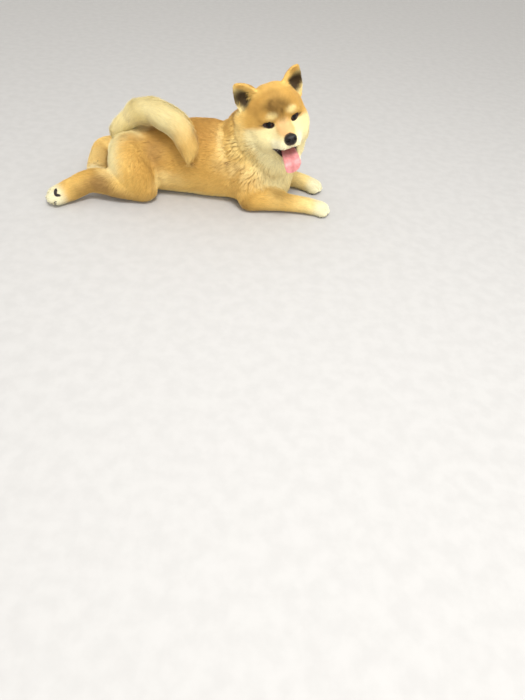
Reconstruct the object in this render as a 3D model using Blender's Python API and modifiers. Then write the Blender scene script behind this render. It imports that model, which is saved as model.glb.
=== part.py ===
"""A shiba inu puppy lying on its belly, hind legs stretched out behind it, as a life-size still model.

Metres, +Z up, floor at Z = 0. The puppy's nose end is +X and its left side is +Y. The head is turned
to its right and tilted, the mouth is open with the tongue out, and the tail curls over the back.
"""

import math

import bmesh
import bpy
import numpy as np
from mathutils import Matrix, Vector

MM = 0.001

# Driving sizes of the body, out to the tips of the coat
WITHERS_HEIGHT = 0.109
CHEST_WIDTH = 0.104
RUMP_X = -0.126
BREAST_X = 0.128
LEG_THICKNESS = 0.030
PAW_WIDTH = 0.034

# Where the head is: the point between the eyes, and how it is turned, raised and tilted
EYE_MIDPOINT = Vector((0.1256, -0.0650, 0.1435))
HEAD_TURN = math.radians(-73.0)
HEAD_RAISE = math.radians(10.5)
HEAD_TILT = math.radians(15.6)

# The head's own sizes, in its own frame: +X along the muzzle, +Y to the puppy's left
EYE_SPACING = 28.6 * MM
EYE_RADIUS = 7.6 * MM
EYE_DEPTH = 6.0 * MM
EAR_THICKNESS = 4.4 * MM
EAR_CUP = 12.0
EAR_ROOT = 0.28
EAR_PARTED_AT = 0.2
EAR_INNER = np.array((-25.0, 18.0, 40.0))
EAR_OUTER = np.array((-40.0, 46.5, 15.0))
EAR_TIP = {-1: np.array((-33.0, 46.0, 56.0)), 1: np.array((-33.0, 42.5, 56.5))}

# How the pieces are made and parted
BODY_GRAIN = 3.6 * MM
LIMB_GRAIN = 2.6 * MM
HEAD_GRAIN = 2.0 * MM
CUT_WIDTH = 0.5 * MM
FLOOR_BLOCK = (0.4, 0.3, 0.05)
BODY_TRIANGLES = 3150
TAIL_TRIANGLES = 420
NOSE_TRIANGLES = 180
# Moves the whole puppy so that the origin is under the middle of its bounding box
RECENTRE = Vector((0.001359, 0.005500, 0.0))

RIGHT, LEFT = -1, 1
SIDE_NAMES = {RIGHT: "right", LEFT: "left"}

COAT = {
    "tan": (0.62, 0.36, 0.14),
    "cream": (0.86, 0.72, 0.46),
    "pale": (0.90, 0.84, 0.68),
}


def clear_scene():
    for obj in list(bpy.data.objects):
        bpy.data.objects.remove(obj, do_unlink=True)


def new_collection(name):
    made = bpy.data.collections.new(name)
    bpy.context.scene.collection.children.link(made)
    return made


def material(name, colour, roughness=0.85, metallic=0.0):
    made = bpy.data.materials.get(name)
    if made is None:
        made = bpy.data.materials.new(name)
        made.use_nodes = True
        shader = made.node_tree.nodes["Principled BSDF"]
        shader.inputs["Base Color"].default_value = (*colour, 1.0)
        shader.inputs["Roughness"].default_value = roughness
        shader.inputs["Metallic"].default_value = metallic
    return made


def head_frame():
    """The matrix from the head's own frame to the world."""
    turned = Matrix.Rotation(HEAD_TURN, 4, "Z")
    raised = Matrix.Rotation(-HEAD_RAISE, 4, "Y")
    tilted = Matrix.Rotation(HEAD_TILT, 4, "X")
    return Matrix.Translation(EYE_MIDPOINT) @ turned @ raised @ tilted


def add_object(name, mesh, collection):
    obj = bpy.data.objects.new(name, mesh)
    collection.objects.link(obj)
    return obj


def ball(centre, half, turn=(0.0, 0.0, 0.0), frame=None, segments=32):
    """An ellipsoid with these half sizes, turned by these degrees about X, Y and Z."""
    placed = Matrix.Translation(Vector(centre))
    for axis, degrees in zip("ZYX", reversed(turn)):
        placed = placed @ Matrix.Rotation(math.radians(degrees), 4, axis)
    placed = placed @ Matrix.Diagonal((*half, 1.0))
    if frame is not None:
        placed = frame @ placed
    shape = bmesh.new()
    bmesh.ops.create_uvsphere(
        shape, u_segments=segments, v_segments=segments // 2, radius=1.0, matrix=placed
    )
    mesh = bpy.data.meshes.new("ball")
    shape.to_mesh(mesh)
    shape.free()
    return mesh


def smooth_rows(rows, steps):
    """Rows of numbers filled in between with a Catmull-Rom curve through them."""
    rows = np.array(rows, float)
    padded = np.vstack([2 * rows[0] - rows[1], rows, 2 * rows[-1] - rows[-2]])
    filled = []
    for i in range(1, len(padded) - 2):
        before, start, end, after = padded[i - 1 : i + 3]
        for t in np.linspace(0.0, 1.0, steps, endpoint=False):
            filled.append(
                0.5
                * (
                    2 * start
                    + (end - before) * t
                    + (2 * before - 5 * start + 4 * end - after) * t**2
                    + (3 * start - before - 3 * end + after) * t**3
                )
            )
    filled.append(padded[-2])
    return np.array(filled)


def loft(stations, frame=None, steps=4, sides=28, across_by=None):
    """A limb or trunk through stations of (x, y, z, half width, half height), with domed ends."""
    rows = smooth_rows(stations, steps)
    along = np.gradient(rows[:, :3], axis=0)
    along /= np.linalg.norm(along, axis=1)[:, None]
    angles = np.linspace(0.0, 2 * math.pi, sides, endpoint=False)
    shape = bmesh.new()
    rings = []

    def add_ring(centre, direction, half_width, half_height):
        across = Vector(across_by or Vector(direction).cross(Vector((0.0, 0.0, 1.0))))
        if across.length < 0.2:
            across = Vector((0.0, 1.0, 0.0))
        across.normalize()
        upward = across.cross(Vector(direction)).normalized()
        rings.append(
            [
                shape.verts.new(
                    Vector(centre)
                    + across * (half_width * math.cos(a))
                    + upward * (half_height * math.sin(a))
                )
                for a in angles
            ]
        )

    dome = (0.97, 0.8, 0.5, 0.2)
    reach = min(rows[0, 3:])
    for share in dome:
        size = math.sqrt(1 - share**2)
        add_ring(rows[0, :3] - along[0] * reach * share, along[0], *(rows[0, 3:] * size))
    for row, direction in zip(rows, along):
        add_ring(row[:3], direction, row[3], row[4])
    reach = min(rows[-1, 3:])
    for share in reversed(dome):
        size = math.sqrt(1 - share**2)
        add_ring(rows[-1, :3] + along[-1] * reach * share, along[-1], *(rows[-1, 3:] * size))

    for first, second in zip(rings, rings[1:]):
        for i in range(sides):
            j = (i + 1) % sides
            shape.faces.new((first[i], first[j], second[j], second[i]))
    shape.faces.new(list(reversed(rings[0])))
    shape.faces.new(rings[-1])
    bmesh.ops.recalc_face_normals(shape, faces=shape.faces)
    if frame is not None:
        bmesh.ops.transform(shape, matrix=frame, verts=shape.verts)
    mesh = bpy.data.meshes.new("loft")
    shape.to_mesh(mesh)
    shape.free()
    return mesh


def evaluated_mesh(obj):
    """The object's mesh with its modifiers, and the object is removed."""
    bpy.context.view_layer.update()
    graph = bpy.context.evaluated_depsgraph_get()
    mesh = bpy.data.meshes.new_from_object(obj.evaluated_get(graph))
    bpy.data.objects.remove(obj, do_unlink=True)
    return mesh


def joined(meshes):
    """One mesh that holds all of these."""
    shape = bmesh.new()
    for mesh in meshes:
        shape.from_mesh(mesh)
    made = bpy.data.meshes.new("joined")
    shape.to_mesh(made)
    shape.free()
    return made


def fused(meshes, grain, rounds, factor=0.5):
    """These shapes run together into one skin, with its creases smoothed out."""
    obj = add_object("fusing", joined(meshes), bpy.context.scene.collection)
    remesh = obj.modifiers.new("skin", "REMESH")
    remesh.mode = "VOXEL"
    remesh.voxel_size = grain
    if rounds:
        smooth = obj.modifiers.new("soften", "SMOOTH")
        smooth.factor = factor
        smooth.iterations = rounds
    return evaluated_mesh(obj)


def decimated(mesh, triangles):
    obj = add_object("thinning", mesh, bpy.context.scene.collection)
    thin = obj.modifiers.new("thin", "DECIMATE")
    faces = sum(len(p.vertices) - 2 for p in mesh.polygons)
    thin.ratio = min(1.0, triangles / faces)
    return evaluated_mesh(obj)


def trunk_shapes():
    """Chest, belly, loins and croup, the haunches beside them, and the fluffy breast."""
    half_chest = CHEST_WIDTH / 2
    top = WITHERS_HEIGHT
    stations = [
        # x, y and middle height, half width, half height
        (RUMP_X + 0.014, 0.002, 0.050, 0.56 * half_chest, 0.031),
        (-0.094, 0.002, 0.046, 0.88 * half_chest, 0.042),
        (-0.066, 0.001, 0.045, 0.97 * half_chest, 0.048),
        (-0.030, 0.000, 0.048, 0.93 * half_chest, 0.053),
        (0.005, 0.000, 0.052, 0.95 * half_chest, top - 0.050),
        (0.055, 0.000, 0.052, 1.00 * half_chest, top - 0.052),
        (0.090, -0.001, 0.054, 0.96 * half_chest, 0.052),
        (BREAST_X - 0.012, -0.004, 0.052, 0.70 * half_chest, 0.040),
    ]
    shapes = [loft(stations, steps=5)]
    for side in (RIGHT, LEFT):
        shapes.append(
            ball((-0.094, side * 0.030, 0.046), (0.039, 0.031, 0.045), (side * -8, 0, 0))
        )
        shapes.append(
            ball((0.078, side * 0.034, 0.048), (0.030, 0.020, 0.044), (0, 12, 0))
        )
    shapes.append(ball((0.122, -0.008, 0.040), (0.027, 0.034, 0.040), (0, -12, 0)))
    return shapes


def neck_shapes():
    """The short thick neck with its ruff, from the shoulders to the back of the head."""
    return [
        loft(
            [
                # x, y, z, half width, half height
                (0.068, 0.000, 0.072, 0.046, 0.042),
                (0.084, -0.008, 0.096, 0.047, 0.043),
                (0.102, -0.024, 0.118, 0.047, 0.042),
                (0.114, -0.034, 0.134, 0.042, 0.038),
            ]
        ),
        ball((0.122, -0.030, 0.088), (0.031, 0.035, 0.038), (0, -20, 0)),
        ball((0.106, -0.006, 0.100), (0.030, 0.036, 0.032), (0, 0, 0)),
    ]


HIND_LEGS = {
    RIGHT: {
        "hip": (-0.097, -0.040, 0.052),
        "thigh": (-0.086, -0.050, 0.040),
        "knee": (-0.075, -0.052, 0.0205),
        "shank": (-0.112, -0.057, 0.025),
        "hock": (-0.151, -0.059, 0.0265),
        "foot": (-0.178, -0.0755, 0.0185),
        "toes": (-0.1985, -0.0895, 0.0122),
    },
    LEFT: {
        "hip": (-0.097, 0.038, 0.050),
        "thigh": (-0.088, 0.054, 0.036),
        "knee": (-0.078, 0.066, 0.0205),
        "shank": (-0.124, 0.075, 0.021),
        "hock": (-0.168, 0.073, 0.0195),
        "foot": (-0.171, 0.046, 0.017),
        "toes": (-0.168, 0.016, 0.0130),
    },
}


def hind_leg_shapes(side):
    """Thigh out to the knee, shank back to the hock, and the long foot with its sole up."""
    at = HIND_LEGS[side]
    half = LEG_THICKNESS / 2
    return [
        loft(
            [
                (*at["hip"], 0.030, 0.036),
                (*at["thigh"], 0.029, 0.033),
                (*at["knee"], 0.023, 0.022),
            ]
        ),
        loft(
            [
                (*at["knee"], 0.023, 0.022),
                (*at["shank"], half + 0.007, half + 0.006),
                (*at["hock"], half + 0.003, half + 0.003),
                (*at["foot"], half + 0.002, half + 0.001),
                (*at["toes"], half + 0.002, half - 0.001),
            ]
        ),
    ]


FORELEGS = {
    RIGHT: {
        "shoulder": (0.082, -0.034, 0.046),
        "elbow": (0.090, -0.050, 0.018),
        "forearm": (0.135, -0.046, 0.015),
        "wrist": (0.172, -0.045, 0.012),
        "toes": (0.197, -0.045, 0.009),
    },
    LEFT: {
        "shoulder": (0.084, 0.034, 0.046),
        "elbow": (0.092, 0.046, 0.018),
        "forearm": (0.132, 0.040, 0.015),
        "wrist": (0.164, 0.033, 0.013),
        "toes": (0.186, 0.027, 0.0092),
    },
}


def foreleg_shapes(side):
    """Upper arm down to the elbow, and the forearm laid forward on the floor."""
    at = FORELEGS[side]
    half = LEG_THICKNESS / 2
    return [
        loft(
            [
                (*at["shoulder"], 0.026, 0.032),
                (*at["elbow"], 0.021, 0.020),
            ]
        ),
        loft(
            [
                (*at["elbow"], 0.020, 0.020),
                (*at["forearm"], half, half),
                (*at["wrist"], half - 0.001, half - 0.002),
                (*at["toes"], half, half - 0.004),
            ]
        ),
    ]


def toe_shapes(wrist, toes):
    """Four rounded toes, the middle two ahead of the outer two, and the pad of the paw."""
    forward = (Vector(toes) - Vector(wrist)).normalized()
    across = forward.cross(Vector((0.0, 0.0, 1.0))).normalized()
    heading = math.degrees(math.atan2(forward.y, forward.x))
    toe_radius = PAW_WIDTH / 5.4
    shapes = [ball(toes, (0.015, PAW_WIDTH / 2, 0.010), (0, 0, heading))]
    for place in (-1.5, -0.5, 0.5, 1.5):
        ahead = 7.0 * MM - abs(place) * 3.4 * MM
        centre = (
            Vector(toes)
            + across * (place * PAW_WIDTH / 4.6)
            + forward * ahead
            - Vector((0.0, 0.0, 1.5 * MM))
        )
        shapes.append(
            ball(centre, (toe_radius * 1.7, toe_radius, toe_radius * 1.15), (0, 0, heading))
        )
    return shapes


def skull_shapes(frame):
    """Cranium, forehead, brows and furred cheeks."""
    def lump(centre, half, turn=(0, 0, 0)):
        return ball(Vector(centre) * MM, Vector(half) * MM, turn, frame)

    shapes = [
        lump((-33, 0, 3.5), (38, 41, 41)),
        lump((-14, 0, 13), (24, 32, 27)),
        lump((-35, 0, -24), (34, 39, 30)),
    ]
    for side in (RIGHT, LEFT):
        shapes += [
            lump((-7, side * 16, 9), (12, 14, 12)),
            lump((-24, side * 26, -12), (24, 18.5, 25), (0, 0, side * -14)),
            lump((-14, side * 21, -20), (22, 17, 18), (0, 0, side * -20)),
            lump((-38, side * 29, -22), (24, 17, 26), (0, 0, side * -8)),
        ]
    return shapes


def muzzle_shapes(frame):
    """Bridge of the nose and upper lips."""
    def lump(centre, half, turn=(0, 0, 0)):
        return ball(Vector(centre) * MM, Vector(half) * MM, turn, frame)

    shapes = [
        loft(
            np.array(
                [
                    # forward, left, up, half width, half height, in millimetres
                    (-12, 0, -10, 22, 17),
                    (4, 0, -13.5, 17.5, 15),
                    (16, 0, -16, 14.5, 12.5),
                    (25, 0, -18.5, 12, 11),
                ]
            )
            * MM,
            frame,
        ),
    ]
    for side in (RIGHT, LEFT):
        shapes += [
            lump((21, side * 8, -23.5), (12, 8.5, 8.5)),
            lump((8, side * 13, -22.5), (14, 9, 8.5), (0, 0, side * -14)),
        ]
    return shapes


def jaw_shapes(frame):
    """The lower jaw, dropped open, and the throat under it."""
    return [
        loft(
            np.array(
                [
                    # forward, left, up, half width, half height, in millimetres
                    (-24, 0, -36, 26, 17),
                    (-8, 0, -43, 19, 12),
                    (8, 0, -49, 14.5, 9),
                    (19, 0, -53, 11.5, 7.5),
                ]
            )
            * MM,
            frame,
        ),
        ball(Vector((-36, 0, -44)) * MM, Vector((28, 34, 26)) * MM, (0, 0, 0), frame),
    ]


def mouth_cutter(frame):
    """The wedge of air between the lips, deepest at the front and closing at the corners."""
    return loft(
        np.array(
            [
                # forward, left, up, half width, half height, in millimetres
                (-8, 0, -28.0, 12, 1.0),
                (0, 0, -30.0, 20, 1.8),
                (8, 0, -33.0, 24, 3.6),
                (16, 0, -36.5, 25, 5.8),
                (26, 0, -40.0, 25, 8.0),
                (44, 0, -45.0, 25, 10.0),
            ]
        )
        * MM,
        frame,
    )


def ear_mesh(side, frame):
    """One pricked ear: a cupped, round-tipped triangle with a thick furred edge."""
    middle = (EAR_INNER + EAR_OUTER) / 2
    base_half = (EAR_OUTER - EAR_INNER) / 2
    rise = EAR_TIP[side] - middle
    forward = np.cross(base_half, rise)
    forward /= np.linalg.norm(forward)
    rows, columns = 12, 12
    shape = bmesh.new()
    grid = []
    for i in range(rows + 1):
        v = (1 + EAR_ROOT) * i / rows - EAR_ROOT
        width = (1.0 - max(v, 0.0) ** 1.75) ** 0.80 if v < 1 else 0.0
        width = max(width, 0.10)
        line = []
        for j in range(columns + 1):
            u = -1 + 2 * j / columns
            cup = EAR_CUP * (1 - u * u) * min(1.0, width) * (1 - 0.35 * max(v, 0))
            lean = 5.0 * max(v, 0.0) ** 2
            place = middle + base_half * u * width + rise * v - forward * (cup - lean)
            place = place * np.array((1, side, 1))
            line.append(shape.verts.new(Vector(place) * MM))
        grid.append(line)
    for low, high in zip(grid, grid[1:]):
        for j in range(columns):
            shape.faces.new((low[j], low[j + 1], high[j + 1], high[j]))
    bmesh.ops.recalc_face_normals(shape, faces=shape.faces)
    bmesh.ops.transform(shape, matrix=frame, verts=shape.verts)
    mesh = bpy.data.meshes.new("ear")
    shape.to_mesh(mesh)
    shape.free()
    obj = add_object("ear shell", mesh, bpy.context.scene.collection)
    thick = obj.modifiers.new("thickness", "SOLIDIFY")
    thick.thickness = EAR_THICKNESS
    thick.offset = 0.0
    round_edge = obj.modifiers.new("round", "SUBSURF")
    round_edge.levels = round_edge.render_levels = 1
    return evaluated_mesh(obj)


TAIL_STATIONS = [
    # x, y, z, half width, half height
    (-0.1240, 0.004, 0.0770, 0.0125, 0.0125),
    (-0.1070, 0.002, 0.0950, 0.0130, 0.0130),
    (-0.0900, -0.003, 0.1110, 0.0170, 0.0170),
    (-0.0700, -0.009, 0.1185, 0.0195, 0.0195),
    (-0.0532, -0.019, 0.1192, 0.0205, 0.0205),
    (-0.0332, -0.032, 0.1170, 0.0205, 0.0205),
    (-0.0200, -0.043, 0.1115, 0.0195, 0.0195),
    (-0.0098, -0.052, 0.1018, 0.0180, 0.0180),
    (-0.0047, -0.057, 0.0915, 0.0150, 0.0150),
    (-0.0035, -0.060, 0.0820, 0.0095, 0.0095),
    (-0.0035, -0.062, 0.0740, 0.0040, 0.0040),
]
TAIL_REACH = 0.040
TAIL_CUTS = [
    # a point in the cut, the way to the tip there, and the length beyond it
    ((-0.0265, -0.0375, 0.1145), (0.66, -0.55, -0.45), "tail_tip"),
    ((-0.0800, -0.0060, 0.1150), (0.88, -0.25, 0.37), "tail_middle"),
]


def tail_mesh():
    """The tail, from the rump up, forward over the back and down the right flank."""
    return decimated(fused([loft(TAIL_STATIONS)], HEAD_GRAIN, 2), TAIL_TRIANGLES)


def nose_mesh(frame):
    """The nose leather: broad at the top, narrower between the nostrils and the lip."""
    upper = ball(Vector((31.0, 0.4, -15.6)) * MM, Vector((7.2, 8.6, 5.8)) * MM, frame=frame)
    lower = ball(Vector((31.0, 0.4, -19.2)) * MM, Vector((6.6, 6.0, 5.8)) * MM, frame=frame)
    return decimated(fused([upper, lower], 0.8 * MM, 3), NOSE_TRIANGLES)


def eye_mesh(side, frame):
    centre = Vector((-EYE_DEPTH, side * EYE_SPACING / 2, 0.0))
    return ball(centre, (EYE_RADIUS,) * 3, frame=frame, segments=14)


def lid_opening(side, frame):
    """The almond-shaped opening between the lids, which looks forward and outward."""
    centre = Vector((1.5, side * 18.5, 0.5)) * MM
    return ball(centre, Vector((8, 7.4, 4.6)) * MM, (0, 0, side * 30), frame, segments=16)


def tongue_mesh(frame):
    """The tongue, from inside the mouth over the lower lip and hanging free."""
    stations = np.array(
        [
            # forward, left, up, half width, half thickness, in millimetres
            (-2, 0, -33.0, 8.0, 2.2),
            (10, -1.0, -37.2, 10.0, 3.0),
            (20, -2.2, -42.0, 11.0, 3.4),
            (27, -3.0, -45.5, 11.4, 2.8),
            (30.8, -3.6, -49.5, 11.8, 2.2),
            (31.2, -4.4, -54.5, 11.0, 2.0),
            (30.8, -5.0, -59.0, 8.0, 1.8),
        ]
    )
    return loft(stations * MM, frame, steps=1, sides=12, across_by=(0.0, -1.0, 0.0))


def boolean(obj, cutter, operation="DIFFERENCE"):
    """Apply a Boolean with the cutter to the object's mesh."""
    cut = obj.modifiers.new(operation.lower(), "BOOLEAN")
    cut.operation = operation
    cut.object = cutter
    cut.solver = "EXACT"
    bpy.context.view_layer.update()
    graph = bpy.context.evaluated_depsgraph_get()
    mesh = bpy.data.meshes.new_from_object(obj.evaluated_get(graph))
    obj.modifiers.clear()
    obj.data = mesh


def grown(mesh, distance):
    """A copy of a mesh whose surface stands this far outside it."""
    shape = bmesh.new()
    shape.from_mesh(mesh)
    shape.normal_update()
    for vertex in shape.verts:
        vertex.co += vertex.normal * distance
    made = bpy.data.meshes.new("grown")
    shape.to_mesh(made)
    shape.free()
    return made


def block(centre, half, turn=(0.0, 0.0, 0.0), frame=None):
    """A box with these half sizes, turned by these degrees about X, Y and Z."""
    placed = Matrix.Translation(Vector(centre))
    for axis, degrees in zip("ZYX", reversed(turn)):
        placed = placed @ Matrix.Rotation(math.radians(degrees), 4, axis)
    placed = placed @ Matrix.Diagonal((*half, 1.0))
    if frame is not None:
        placed = frame @ placed
    shape = bmesh.new()
    bmesh.ops.create_cube(shape, size=2.0, matrix=placed)
    mesh = bpy.data.meshes.new("block")
    shape.to_mesh(mesh)
    shape.free()
    return mesh


def facing(centre, direction, reach, width):
    """A box that fills the side of a plane that this direction points to."""
    towards = Vector(direction).normalized()
    turned = towards.to_track_quat("X", "Z").to_matrix().to_4x4()
    placed = Matrix.Translation(Vector(centre) + towards * reach) @ turned
    placed = placed @ Matrix.Diagonal((reach, width, width, 1.0))
    shape = bmesh.new()
    bmesh.ops.create_cube(shape, size=2.0, matrix=placed)
    mesh = bpy.data.meshes.new("facing")
    shape.to_mesh(mesh)
    shape.free()
    return mesh


def cut_by(obj, mesh, cutters, name, operation="DIFFERENCE"):
    """Cut with a mesh that stays in the cutters' collection."""
    cutter = add_object(name, mesh, cutters)
    cutter.hide_render = True
    cutter.display_type = "WIRE"
    boolean(obj, cutter, operation)


def drop_crumbs(obj):
    """Keep only the largest of the bodies in the object's mesh."""
    shape = bmesh.new()
    shape.from_mesh(obj.data)
    bodies = []
    unseen = set(shape.verts)
    while unseen:
        body = {unseen.pop()}
        edge_of_body = list(body)
        while edge_of_body:
            vertex = edge_of_body.pop()
            for edge in vertex.link_edges:
                other = edge.other_vert(vertex)
                if other in unseen:
                    unseen.remove(other)
                    body.add(other)
                    edge_of_body.append(other)
        bodies.append(body)
    largest = max(bodies, key=len)
    crumbs = [vertex for vertex in shape.verts if vertex not in largest]
    bmesh.ops.delete(shape, geom=crumbs, context="VERTS")
    shape.to_mesh(obj.data)
    shape.free()


def part_off(whole, mask, name, puppy, cutters, colour):
    """Part what lies inside the mask from the whole, and leave a thin cut between them."""
    piece = add_object(name, whole.data.copy(), puppy)
    piece.data.materials.clear()
    cut_by(piece, mask, cutters, "inside_" + name, "INTERSECT")
    cut_by(whole, grown(mask, CUT_WIDTH), cutters, "around_" + name)
    drop_crumbs(piece)
    drop_crumbs(whole)
    piece.data.materials.append(material(colour + " coat", COAT[colour]))
    return piece


def head_masks(frame):
    """What is parted from the whole at the head: the ears above their roots, jaw and head."""
    masks = []
    for side in (RIGHT, LEFT):
        middle = (EAR_INNER + EAR_OUTER) / 2 * np.array((1, side, 1))
        tip = EAR_TIP[side] * np.array((1, side, 1))
        rise = Vector(tip - middle)
        base = Vector(middle) + rise * EAR_PARTED_AT
        mesh = facing(base * MM, rise, 26 * MM, 26 * MM)
        mesh.transform(frame)
        masks.append((mesh, "ear_" + SIDE_NAMES[side], "tan"))
    masks.append(
        (
            block(Vector((15, 0, -62)) * MM, Vector((24, 30, 22)) * MM, (0, 22, 0), frame),
            "lower_jaw",
            "pale",
        )
    )
    masks.append(
        (
            ball(
                Vector((-17, 0, -6)) * MM, Vector((60, 64, 57)) * MM, frame=frame, segments=16
            ),
            "head",
            "tan",
        )
    )
    return masks


def leg_masks():
    """What is parted from the whole along each leg, from the paws inward."""
    masks = []
    for side in (RIGHT, LEFT):
        name = SIDE_NAMES[side]
        at = FORELEGS[side]
        wrist = Vector(at["wrist"])
        toes = Vector(at["toes"])
        masks.append(
            (facing(wrist.lerp(toes, 0.3), toes - wrist, 0.03, 0.026), "forepaw_" + name, "pale")
        )
        outward = Vector((0.0, side * 0.006, 0.0))
        path = [Vector(at[key]) + outward for key in ("elbow", "forearm", "wrist")]
        start = path[0] + Vector((0.006, 0.0, 0.0))
        masks.append(
            (
                loft(
                    [
                        (*start, 0.024, 0.028),
                        (*path[1], 0.0225, 0.026),
                        (*path[2], 0.024, 0.026),
                        (*(path[2] + Vector((0.025, 0, 0))), 0.024, 0.026),
                    ],
                    sides=12,
                    steps=1,
                ),
                "foreleg_" + name,
                "tan",
            )
        )
        at = HIND_LEGS[side]
        foot = Vector(at["foot"])
        toes = Vector(at["toes"])
        masks.append((facing(foot, toes - foot, 0.03, 0.027), "hindpaw_" + name, "pale"))
        shank = Vector(at["shank"]).lerp(Vector(at["hock"]), 0.62)
        masks.append(
            (
                block(
                    (shank.x - 0.04, side * 0.085, 0.02),
                    (0.04, 0.055, 0.045),
                ),
                "hock_" + name,
                "tan",
            )
        )
        masks.append(
            (
                facing((-0.100, side * 0.034, 0.045), (-0.40, side * 0.9, 0.12), 0.055, 0.062),
                "thigh_" + name,
                "cream",
            )
        )
    return masks


def trunk_masks():
    """What is parted from the trunk: neck, then rump, then belly, and the chest is left."""
    return [
        (facing((0.085, -0.005, 0.092), (0.45, -0.30, 0.84), 0.07, 0.08), "neck", "cream"),
        (facing((-0.048, 0.0, 0.05), (-1.0, 0.0, 0.12), 0.08, 0.09), "rump", "cream"),
        (facing((0.030, 0.0, 0.05), (-1.0, 0.0, 0.1), 0.045, 0.09), "belly", "pale"),
    ]


def main():
    clear_scene()
    puppy = new_collection("shiba_inu")
    cutters = new_collection("cutters")
    frame = head_frame()

    trunk = fused(trunk_shapes() + neck_shapes(), BODY_GRAIN, 8)
    limbs = []
    for side in (RIGHT, LEFT):
        limbs += hind_leg_shapes(side) + foreleg_shapes(side)
    trunk = fused([trunk, *limbs], LIMB_GRAIN, 8)
    toes = []
    for side in (RIGHT, LEFT):
        toes += toe_shapes(FORELEGS[side]["wrist"], FORELEGS[side]["toes"])
        toes += toe_shapes(HIND_LEGS[side]["foot"], HIND_LEGS[side]["toes"])
    head = fused(skull_shapes(frame) + muzzle_shapes(frame) + jaw_shapes(frame), HEAD_GRAIN, 8)
    ears = [ear_mesh(side, frame) for side in (RIGHT, LEFT)]
    whole = add_object("whole", fused([trunk, head, *ears, *toes], HEAD_GRAIN, 3), puppy)
    cut_by(whole, mouth_cutter(frame), cutters, "mouth")
    whole.data = decimated(whole.data, BODY_TRIANGLES)
    cut_by(whole, block((0, 0, -FLOOR_BLOCK[2]), FLOOR_BLOCK), cutters, "floor")

    tail = add_object("tail", tail_mesh(), puppy)
    tongue = add_object("tongue", tongue_mesh(frame), puppy)
    tongue.data.materials.append(material("tongue", (0.80, 0.36, 0.38), 0.45))
    nose = add_object("nose", nose_mesh(frame), puppy)
    nose.data.materials.append(material("nose leather", (0.02, 0.02, 0.022), 0.4))
    inset = [tail, tongue, nose]
    for side in (RIGHT, LEFT):
        eye = add_object("eye_" + SIDE_NAMES[side], eye_mesh(side, frame), puppy)
        eye.data.materials.append(material("eye", (0.03, 0.015, 0.01), 0.1))
        inset.append(eye)
    for side in (RIGHT, LEFT):
        cut_by(whole, lid_opening(side, frame), cutters, "lids_" + SIDE_NAMES[side])
    for piece in inset:
        cut_by(whole, grown(piece.data, CUT_WIDTH), cutters, "around_" + piece.name)

    for mask, name, colour in head_masks(frame) + leg_masks() + trunk_masks():
        part_off(whole, mask, name, puppy, cutters, colour)
    whole.name = "chest"
    whole.data.materials.clear()
    whole.data.materials.append(material("pale coat", COAT["pale"]))

    for start, heading, name in TAIL_CUTS:
        part_off(tail, facing(start, heading, TAIL_REACH, TAIL_REACH), name, puppy, cutters, "cream")
    tail.name = "tail_root"
    tail.data.materials.append(material("cream coat", COAT["cream"]))

    for obj in list(puppy.objects) + list(cutters.objects):
        obj.data.transform(Matrix.Translation(RECENTRE))
    for obj in puppy.objects:
        obj.data.shade_smooth()


main()
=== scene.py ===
"""A shiba inu puppy lying on its belly: skin, coat, eyes, nose, mouth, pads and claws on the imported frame.

The frame comes first. Each operator makes one piece or a group of like pieces, in metres, in the
frame's own axes: +X to the forepaws, +Y to the puppy's left, +Z up, floor at Z = 0.
"""

import math

import bmesh
import bpy
import numpy as np
from bpy.props import FloatProperty, FloatVectorProperty, IntProperty, PointerProperty
from mathutils import Matrix, Vector
from mathutils.bvhtree import BVHTree
from mathutils.kdtree import KDTree


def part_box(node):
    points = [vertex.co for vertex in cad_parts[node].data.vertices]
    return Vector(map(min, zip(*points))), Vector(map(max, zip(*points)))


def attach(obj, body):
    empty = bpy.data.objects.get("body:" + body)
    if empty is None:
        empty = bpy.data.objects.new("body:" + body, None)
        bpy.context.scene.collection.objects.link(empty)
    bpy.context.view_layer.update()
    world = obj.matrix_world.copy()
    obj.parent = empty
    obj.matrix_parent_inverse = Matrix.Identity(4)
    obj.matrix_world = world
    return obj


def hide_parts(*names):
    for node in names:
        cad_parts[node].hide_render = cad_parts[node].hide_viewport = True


bl_info = {
    "name": "Shiba inu puppy",
    "version": (1, 0, 0),
    "blender": (4, 5, 0),
    "location": "3D View > Sidebar > Puppy",
    "description": "Makes the skin, coat and features of a lying shiba inu puppy",
    "category": "Object",
}

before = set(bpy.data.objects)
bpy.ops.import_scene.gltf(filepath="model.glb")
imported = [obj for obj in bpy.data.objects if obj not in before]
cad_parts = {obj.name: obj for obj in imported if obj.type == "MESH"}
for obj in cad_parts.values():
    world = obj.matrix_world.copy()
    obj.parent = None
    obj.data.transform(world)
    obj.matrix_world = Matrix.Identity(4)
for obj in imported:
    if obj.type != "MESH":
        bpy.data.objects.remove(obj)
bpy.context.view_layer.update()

MM = 0.001
# Points closer together than this are one point
WELD = 1e-6
RIGHT, LEFT = -1, 1
SIDES = {RIGHT: "right", LEFT: "left"}

# The head's place and turn: the point between the eyes, then turn, raise and tilt in degrees
EYE_MIDPOINT = np.array((0.126959, -0.0595, 0.1435))
HEAD_TURN, HEAD_RAISE, HEAD_TILT = -73.0, 10.5, 15.6

# Landmarks of the head in its own axes, in millimetres: forward, left, up
EYE_PLACE = np.array((-6.0, 14.3, 0.0))
NOSE_PLACE = np.array((31.0, 0.4, -16.8))
EAR_INNER = np.array((-25.0, 18.0, 40.0))
EAR_OUTER = np.array((-40.0, 46.5, 15.0))
EAR_TIP = {RIGHT: np.array((-33.0, 46.0, 56.0)), LEFT: np.array((-33.0, 42.5, 56.5))}
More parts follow.
